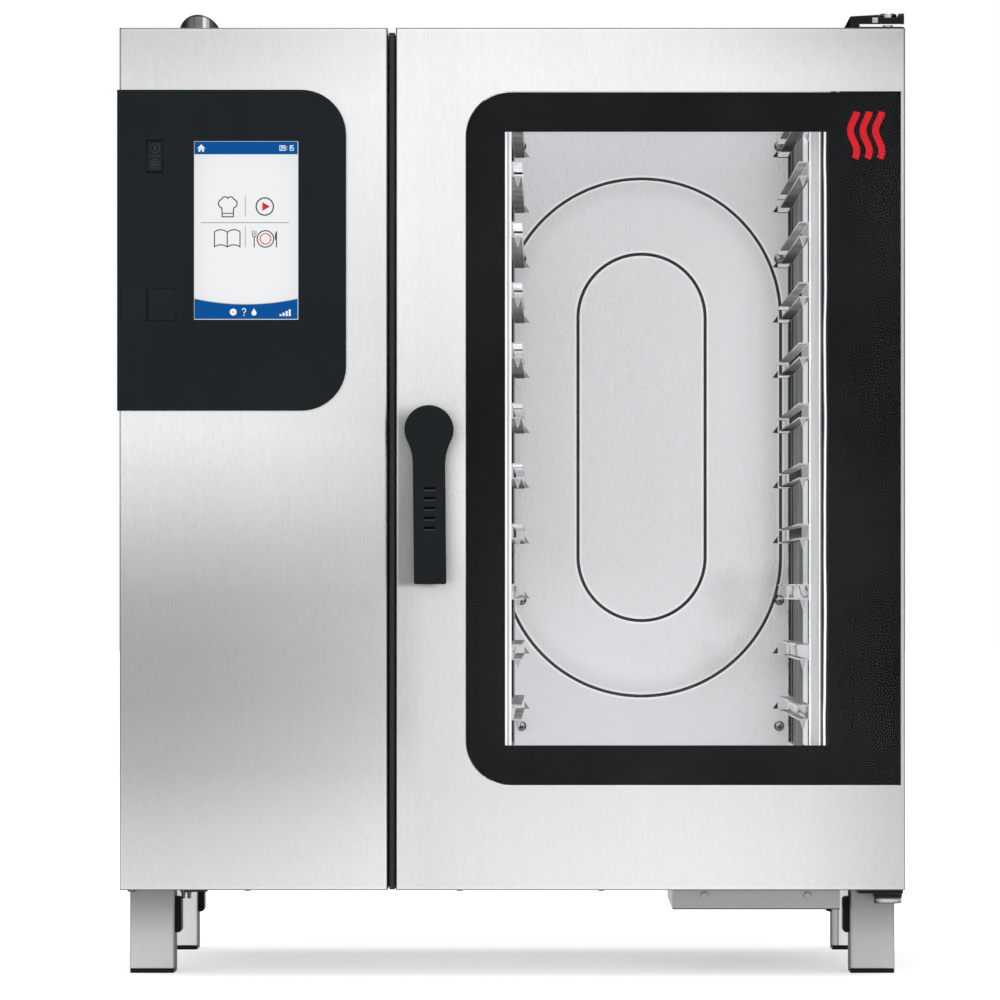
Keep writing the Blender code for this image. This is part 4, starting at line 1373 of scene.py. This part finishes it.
def white_icons():
    """House and clock in the header; cog, question mark, drop and signal below."""
    shape = bmesh.new()
    patch(shape, [(3.4, 8.0), (7.9, 3.4), (12.4, 8.0)])
    house = [
        (4.9, 11.6), (4.9, 8.4), (10.9, 8.4), (10.9, 11.6),
        (8.9, 11.6), (8.9, 9.4), (6.9, 9.4), (6.9, 11.6),
    ]
    patch(shape, house)
    draw_clock(shape)
    draw_cog(shape)
    draw_question_mark(shape)
    draw_drop(shape)
    draw_signal(shape)
    screen_piece("display_icons_white", shape, INK_WHITE)


blue_bars()
screen_lines()
dark_icons()
red_icons()
white_icons()

# ------------------------------------------------------- marks on other parts
MARK_GREY = plastic(
    "mark_grey", (0.045, 0.049, 0.052), rough=0.5, grain=900.0, bump=0.05, gloss=0.15
)
RED_PRINT = plastic(
    "red_print", (0.56, 0.006, 0.014),
    rough=0.35, grain=1800.0, bump=0.02, gloss=0.1, edge=0.0003, edge_light=0.0,
)


def rocker_symbols():
    """A ringed bar over a double ring, tilted with the rocker's face."""
    low, high = box_mm("power_rocker")
    x, z = (low.x + high.x) / 2, (low.z + high.z) / 2
    depths = (-4.35, -4.1)
    ring_x = x + 0.6
    upper, lower = z + 8.6, z - 8.6
    shape = bmesh.new()
    ribbon(circle(ring_x, upper, 5.2, 28), 0.55, depths, shape, closed=True)
    ribbon([(ring_x, z + 6.2), (ring_x, z + 11.0)], 1.1, depths, shape)
    ribbon(circle(ring_x, lower, 5.2, 28), 0.55, depths, shape, closed=True)
    ribbon(circle(ring_x, lower, 2.4, 20), 1.0, depths, shape, closed=True)
    ribbon([(x - 6.4, z), (x + 6.8, z)], 0.6, depths, shape)
    pivot = Vector((x, FRONT, z))
    tilt = Matrix.Rotation(math.radians(-5.0), 4, "X")
    shape.transform(Matrix.Translation(pivot) @ tilt @ Matrix.Translation(-pivot))
    piece("rocker_symbols", shape, MARK_GREY, "power_rocker", angle=None)


def steam_mark():
    """Three wavy red strokes printed on the glass, in its upper right corner."""
    corner = box_mm("door_glass_outer")[1]
    height, swing, waves = 52.0, 3.6, 1.15
    base_z = corner.z - 74.0
    shape = bmesh.new()
    for k in range(3):
        middle = corner.x - 52.0 + 14.0 * k
        path = []
        for i in range(25):
            t = i / 24
            sway = swing * math.sin(2 * math.pi * t * waves + 0.4)
            path.append((middle + sway, base_z + height * t))
        ribbon(path, 7.4, (4.30, 4.46), shape)
    piece("steam_mark", shape, RED_PRINT, "door", angle=None)


rocker_symbols()
steam_mark()

# ===================================================================== handle
BUSH_LOW, BUSH_HIGH = box_mm("handle_bush")
LEVER_LOW, LEVER_HIGH = box_mm("handle_lever")
HEAD_X = (BUSH_LOW.x + BUSH_HIGH.x) / 2
HEAD_Z = (BUSH_LOW.z + BUSH_HIGH.z) / 2
HEAD_RADIUS = (LEVER_HIGH.x - LEVER_LOW.x) / 2
GRIP_HALF_WIDTH = 17.75
GRIP_THICKNESS = 22.0
GRIP_FRONT = depth_of(LEVER_LOW.y)
GRIP_FOOT = LEVER_LOW.z
GRIP_LEAN = 1.3  # how far the foot stands to the right
FOOT_RADIUS = 2.5
NECK_FILLET = 60.0  # radius of the hollow between head and grip


def lever_outline():
    """Up the right flank, over the head and down the left flank."""
    half, fillet, corner = GRIP_HALF_WIDTH, NECK_FILLET, FOOT_RADIUS
    # each hollow's centre stands clear of the grip and touches the head's circle
    fillet_drop = math.sqrt((HEAD_RADIUS + fillet) ** 2 - (half + fillet) ** 2)
    right_x = HEAD_X + half + fillet
    left_x = HEAD_X - half - fillet
    fillet_z = HEAD_Z - fillet_drop
    end = math.degrees(math.atan2(HEAD_Z - fillet_z, HEAD_X - right_x))
    first = math.degrees(math.atan2(fillet_z - HEAD_Z, right_x - HEAD_X))
    foot_z = GRIP_FOOT + corner
    outline = arc(HEAD_X + half - corner, foot_z, corner, -90, 0, 5)
    outline += arc(right_x, fillet_z, fillet, 180, end, 12)
    outline += arc(HEAD_X, HEAD_Z, HEAD_RADIUS, first, 180 - first, 48)[1:-1]
    outline += arc(left_x, fillet_z, fillet, 180 - end, 0, 12)
    outline += arc(HEAD_X - half + corner, foot_z, corner, 180, 270, 5)
    lean_top = HEAD_Z - 40
    leaning = []
    for x, z in outline:
        share = max(0.0, min(1.0, (lean_top - z) / (lean_top - GRIP_FOOT)))
        leaning.append((x + GRIP_LEAN * share, z))
    return leaning


def handle_grip():
    shape = bmesh.new()
    prism(lever_outline(), (GRIP_FRONT, GRIP_FRONT + GRIP_THICKNESS), shape)
    grip = piece("handle_grip", shape, PLASTIC_BLACK, "handle", angle=25)
    soften(grip, width=2.6, segments=4, angle=50)
    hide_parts("handle_lever")


def handle_neck():
    profile = [
        (0.0, 0.0), (21.0, 0.0), (20.0, 4.0), (18.6, 12.0), (18.2, 20.0),
        (19.4, 27.0), (22.4, 31.0), (22.8, 33.6), (22.0, 34.2), (0.0, 34.2),
    ]
    start = (HEAD_X, LEVER_LOW.y + GRIP_THICKNESS + 0.1, HEAD_Z)
    shape = turned(profile, start, "Y", 48)
    piece("handle_neck", shape, PLASTIC_BLACK, "handle")


def handle_ribs():
    """Five short bars of painted shade across the grip, each with a paler rim below as a
    painted highlight.
    """
    ribs = bmesh.new()
    rims = bmesh.new()
    middle = HEAD_X + GRIP_LEAN * 0.6
    left, right = middle - 6.2, middle + 6.2
    back = GRIP_FRONT + 0.2
    for k in range(5):
        z = GRIP_FOOT + 62.0 + 10.9 * k
        rim_z = z - 2.3
        ribbon([(left, z), (right, z)], 3.0, (GRIP_FRONT - 0.45, back), ribs)
        ribbon([(left, rim_z), (right, rim_z)], 0.9, (GRIP_FRONT - 0.30, back), rims)
    made = piece("handle_grip_ribs", ribs, RIB_SHADE, "handle")
    soften(made, width=0.35, segments=2)
    piece("handle_rib_rims", rims, RIB_HIGHLIGHT, "handle")


handle_grip()
handle_neck()
handle_ribs()

# ====================================================== racks and the cavity
RAIL_TOP = 987.0  # top of the uppermost rail
RAIL_HEIGHT = 17.6
RAIL_START = 105.0  # depth of the rails' front ends
REAR_WALL = 699.6
LEFT_RAIL_X = box_mm("rack_left")[1].x  # the rails' inner edges
RIGHT_RAIL_X = box_mm("rack_right")[0].x
# (reach into the cavity, height over the rail's underside)
FRONT_TAB = [(-1.2, 0.4), (-8.4, 0.4), (-6.2, -8.0), (-4.6, -11.0), (-3.6, -8.0)]
REAR_TAB = [(-0.2, 0.6), (6.4, 0.6), (-0.2, 9.6)]


def tray_stops(name, rail_x, inward):
    """A hanging tab at the front of each rail and a three-cornered one at the rear."""
    shape = bmesh.new()
    for k in range(11):
        rail_z = RAIL_TOP - RAIL_PITCH * k - RAIL_HEIGHT

        def placed(tab):
            return [(rail_x + inward * reach, rail_z + up) for reach, up in tab]

        prism(placed(FRONT_TAB)[::-inward], (RAIL_START + 0.2, RAIL_START + 2.4), shape)
        prism(placed(REAR_TAB), (636.0, 637.6), shape)
    piece(name, shape, STEEL_RACK, angle=30)


def rack_pegs():
    """Pegs that stand out from the rear wall behind the rails."""
    profile = [
        (0.0, 0.0), (5.6, 0.0), (6.4, 1.2), (6.4, 5.0), (4.4, 7.0), (4.2, 26.0),
        (3.4, 28.0), (0.0, 28.2),
    ]
    shape = bmesh.new()
    for x in (RIGHT_RAIL_X + 4.6, LEFT_RAIL_X - 4.6):
        for z in (989.0, 848.0, 420.0, 262.0):
            turned(profile, (x, y_of(REAR_WALL), z), "-Y", 20, shape)
    piece("rack_pegs", shape, CHROME)


tray_stops("rack_left_tray_stops", LEFT_RAIL_X, inward=1)
tray_stops("rack_right_tray_stops", RIGHT_RAIL_X, inward=-1)
rack_pegs()

# ============================================================== small fixings
UNDERSIDE = box_mm("base_pan")[0].z
SINK = 0.05  # how far a fixing's seat is set off the base


def underside_screws():
    profile = [
        (0.0, 0.0), (3.4, 0.0), (3.4, 2.6), (4.8, 2.8), (4.8, 4.2), (3.8, 5.6),
        (1.8, 6.0), (0.0, 6.0),
    ]
    shape = bmesh.new()
    for x, depth in ((-429.5, 64.0), (-300.0, 86.0), (-60.0, 86.0), (100.0, 86.0)):
        turned(profile, (x, y_of(depth), UNDERSIDE - SINK), "-Z", 24, shape)
    piece("underside_screws", shape, CHROME)


def underside_tab():
    shape = block((-371.0, -344.5), (70.0, 92.0), (UNDERSIDE - 6.2, UNDERSIDE - 0.1))
    soften(piece("underside_tab", shape, BLACKENED), width=1.1)


def underside_bolts():
    """Two hexagonal studs side by side, with threaded tips."""
    profile = [
        (0.0, 0.0), (3.1, 0.0), (3.1, 8.6), (2.4, 8.7), (2.4, 11.2), (2.0, 11.7),
        (2.4, 12.2), (2.0, 12.9), (2.4, 13.6), (2.0, 14.4), (1.6, 15.6), (0.0, 15.6),
    ]
    shape = bmesh.new()
    for x in (-374.0, -367.4):
        spot = (x, y_of(106.0), UNDERSIDE - SINK)
        turned(profile, spot, "-Z", 20, shape, hexagons=(1, 2))
    piece("underside_bolts", shape, CHROME)


def hinge_fixings():
    """A set block on the top hinge arm's front, and a nut on its pin."""
    front = depth_of(ARM_LOW.y)
    shape = block(
        (401.4, 408.2), (front - 1.2, front + 0.4), (ARM_LOW.z + 6.4, ARM_LOW.z + 12.6)
    )
    soften(piece("hinge_set_block", shape, GALVANISED), width=0.8)
    low, high = box_mm("hinge_pin_top")
    seat = ((low.x + high.x) / 2, (low.y + high.y) / 2, high.z - 0.1)
    profile = [(0.0, 0.0), (6.2, 0.0), (6.2, 0.9), (4.4, 1.0), (3.0, 1.0), (0.0, 1.0)]
    nut = turned(profile, seat, "Z", 28, hexagons=(1, 2))
    piece("hinge_pin_nut", nut, CHROME)


def exhaust_collar():
    """Sealing ring where the pipe leaves the roof."""
    low, high = box_mm("exhaust_pipe")
    x, y = (low.x + high.x) / 2, (low.y + high.y) / 2
    pipe_radius = (high.x - low.x) / 2
    roof = box_mm("top_cover")[1].z
    # (height over the roof, gap to the pipe), round the ring's section
    section = [
        (0.05, 0.5), (0.05, 9.0), (0.9, 9.0), (1.6, 6.0), (2.2, 2.2), (3.4, 1.3),
        (3.4, 0.5),
    ]
    angles = [2 * math.pi * k / 48 for k in range(48)]
    shape = bmesh.new()
    rings = []
    for height, gap in section:
        radius = pipe_radius + gap
        rings.append(
            [
                shape.verts.new(
                    (x + radius * math.cos(a), y + radius * math.sin(a), roof + height)
                )
                for a in angles
            ]
        )
    for ring, following in zip(rings, rings[1:] + rings[:1]):
        for k in range(48):
            m = (k + 1) % 48
            shape.faces.new((ring[k], ring[m], following[m], following[k]))
    piece("exhaust_collar", shape, SILICONE)


underside_screws()
underside_tab()
underside_bolts()
hinge_fixings()
exhaust_collar()

# ================================================================== rear side
REAR_LOW, REAR_HIGH = box_mm("rear_panel")
SERVICE_Z = 200.0  # height of the water inlet and the cable gland


def rear_panel_screws():
    """Pan-head socket screws along the rear panel's border."""
    rim, radius, height = 14.0, 4.2, 1.9
    profile = [
        (0.0, 0.0),
        (radius, 0.0),
        (radius, height * 0.35),
        (radius * 0.86, height * 0.8),
        (radius * 0.62, height),
        (radius * 0.44, height),
        (radius * 0.42, height * 0.30),
        (0.0, height * 0.25),
    ]
    left, right = REAR_LOW.x + rim, REAR_HIGH.x - rim
    bottom, top = REAR_LOW.z + rim, REAR_HIGH.z - rim
    spots = [(left + (right - left) * t / 5, z) for z in (bottom, top) for t in range(6)]
    spots += [(x, bottom + (top - bottom) * t / 4) for x in (left, right) for t in (1, 2, 3)]
    shape = bmesh.new()
    for x, z in spots:
        turned(profile, (x, REAR_HIGH.y, z), "Y", 24, shape, hexagons=(5, 6))
    piece("rear_panel_screws", shape, CHROME)


def water_inlet_thread():
    profile = [(0.0, 0.0), (13.3, 0.0)]
    for k in range(9):
        profile += [(13.35, 1.0 + 1.8 * k), (14.2, 1.9 + 1.8 * k)]
    profile += [(13.3, 17.6), (0.0, 17.6)]
    start = (-372.0, box_mm("water_valve")[1].y - 18.2, SERVICE_Z)
    shape = turned(profile, start, "Y", 40)
    piece("water_inlet_thread", shape, BRASS)


def mains_cable_gland():
    profile = [
        (0.0, 0.0), (15.5, 0.0), (15.5, 6.0), (13.0, 6.2), (13.0, 9.0), (14.0, 9.2),
        (14.0, 15.0), (10.5, 19.0), (7.0, 20.0), (0.0, 20.0),
    ]
    start = (-300.0, REAR_HIGH.y, SERVICE_Z)
    shape = turned(profile, start, "Y", 36, hexagons=(1, 2))
    piece("mains_cable_gland", shape, PLASTIC_BLACK, angle=28)


rear_panel_screws()
water_inlet_thread()
mains_cable_gland()


# ====================================================================== stage
def floor_material():
    """Mottled grey with painted light: it glows more from under the oven backwards, cutting
    the oven's shadow short.
    """
    net = new_material("pale_floor")
    mottled = net.noise(1.2, detail=3.0)
    colour = net.mix(mottled, (0.54, 0.54, 0.54), (0.58, 0.58, 0.58))
    base = net.node("ShaderNodeBsdfDiffuse", {"Color": colour, "Roughness": 0.6})
    strength = net.span(net.axes()[1], 0.00, 0.16, 0.50, 0.80, smooth=True)
    glow = net.node("ShaderNodeEmission", {"Color": (1, 1, 1, 1), "Strength": strength})
    both = net.node("ShaderNodeAddShader", {0: base.outputs[0], 1: glow.outputs[0]})
    return net.close(both.outputs[0])


def build_floor():
    shape = bmesh.new()
    bmesh.ops.create_grid(shape, x_segments=4, y_segments=4, size=30.0)
    mesh = bpy.data.meshes.new("floor")
    shape.to_mesh(mesh)
    shape.free()
    mesh.materials.append(floor_material())
    floor = bpy.data.objects.new("floor", mesh)
    bpy.context.scene.collection.objects.link(floor)


def build_world():
    """White to the camera; as light, dimmer at both sides and brighter overhead."""
    world = bpy.data.worlds.new("studio")
    bpy.context.scene.world = world
    net = Net(world, space="Generated")
    x, _, z = net.axes()
    side = net.node("ShaderNodeMath", {0: x}, operation="ABSOLUTE").outputs[0]
    flag = net.span(side, 0.45, 0.80, 1.0, 0.45, smooth=True)
    sky = net.span(z, 0.15, 0.9, 0.0, 0.7, smooth=True)
    level = net.plus(flag, sky)
    seen = net.node("ShaderNodeLightPath").outputs["Is Camera Ray"]
    picked = net.node("ShaderNodeMix", {0: seen, 2: level, 3: 1.0}, data_type="FLOAT")
    lamp = net.node(
        "ShaderNodeBackground", {"Color": (1, 1, 1, 1), "Strength": picked.outputs[0]}
    )
    net.node("ShaderNodeOutputWorld", {"Surface": lamp.outputs[0]})


def softbox(name, spot, aim, width, height, watts):
    data = bpy.data.lights.new(name, "AREA")
    data.energy = watts
    data.shape = "RECTANGLE"
    data.size = width
    data.size_y = height
    made = bpy.data.objects.new(name, data)
    bpy.context.scene.collection.objects.link(made)
    made.location = spot
    made.rotation_mode = "QUATERNION"
    made.rotation_quaternion = (Vector(aim) - Vector(spot)).to_track_quat("-Z", "Y")
    made.visible_camera = False


def build_camera():
    data = bpy.data.cameras.new("camera")
    data.sensor_width = 36.0
    data.lens = 177.86
    data.shift_x = -0.053
    data.shift_y = 0.092
    data.clip_start = 0.1
    data.clip_end = 200.0
    camera = bpy.data.objects.new("camera", data)
    bpy.context.scene.collection.objects.link(camera)
    camera.location = (0.0453, -5.866, 0.430)
    camera.rotation_euler = (math.pi / 2, 0.0, 0.0)
    bpy.context.scene.camera = camera


build_floor()
build_world()
softbox(
    "overhead", spot=(0.0, -0.3, 3.4), aim=(0.0, 0.0, 0.0), width=3.2, height=3.2, watts=30.0
)
softbox(
    "front_key", spot=(-1.6, -4.6, 2.6), aim=(0.0, 0.0, 0.6), width=1.8, height=1.8, watts=6.0
)
softbox(
    "cavity_light",
    spot=(0.167, -0.285, 0.61),
    aim=(0.167, 0.33, 0.61),
    width=0.30,
    height=0.72,
    watts=0.22,
)
build_camera()
bpy.context.scene.view_settings.view_transform = "Standard"
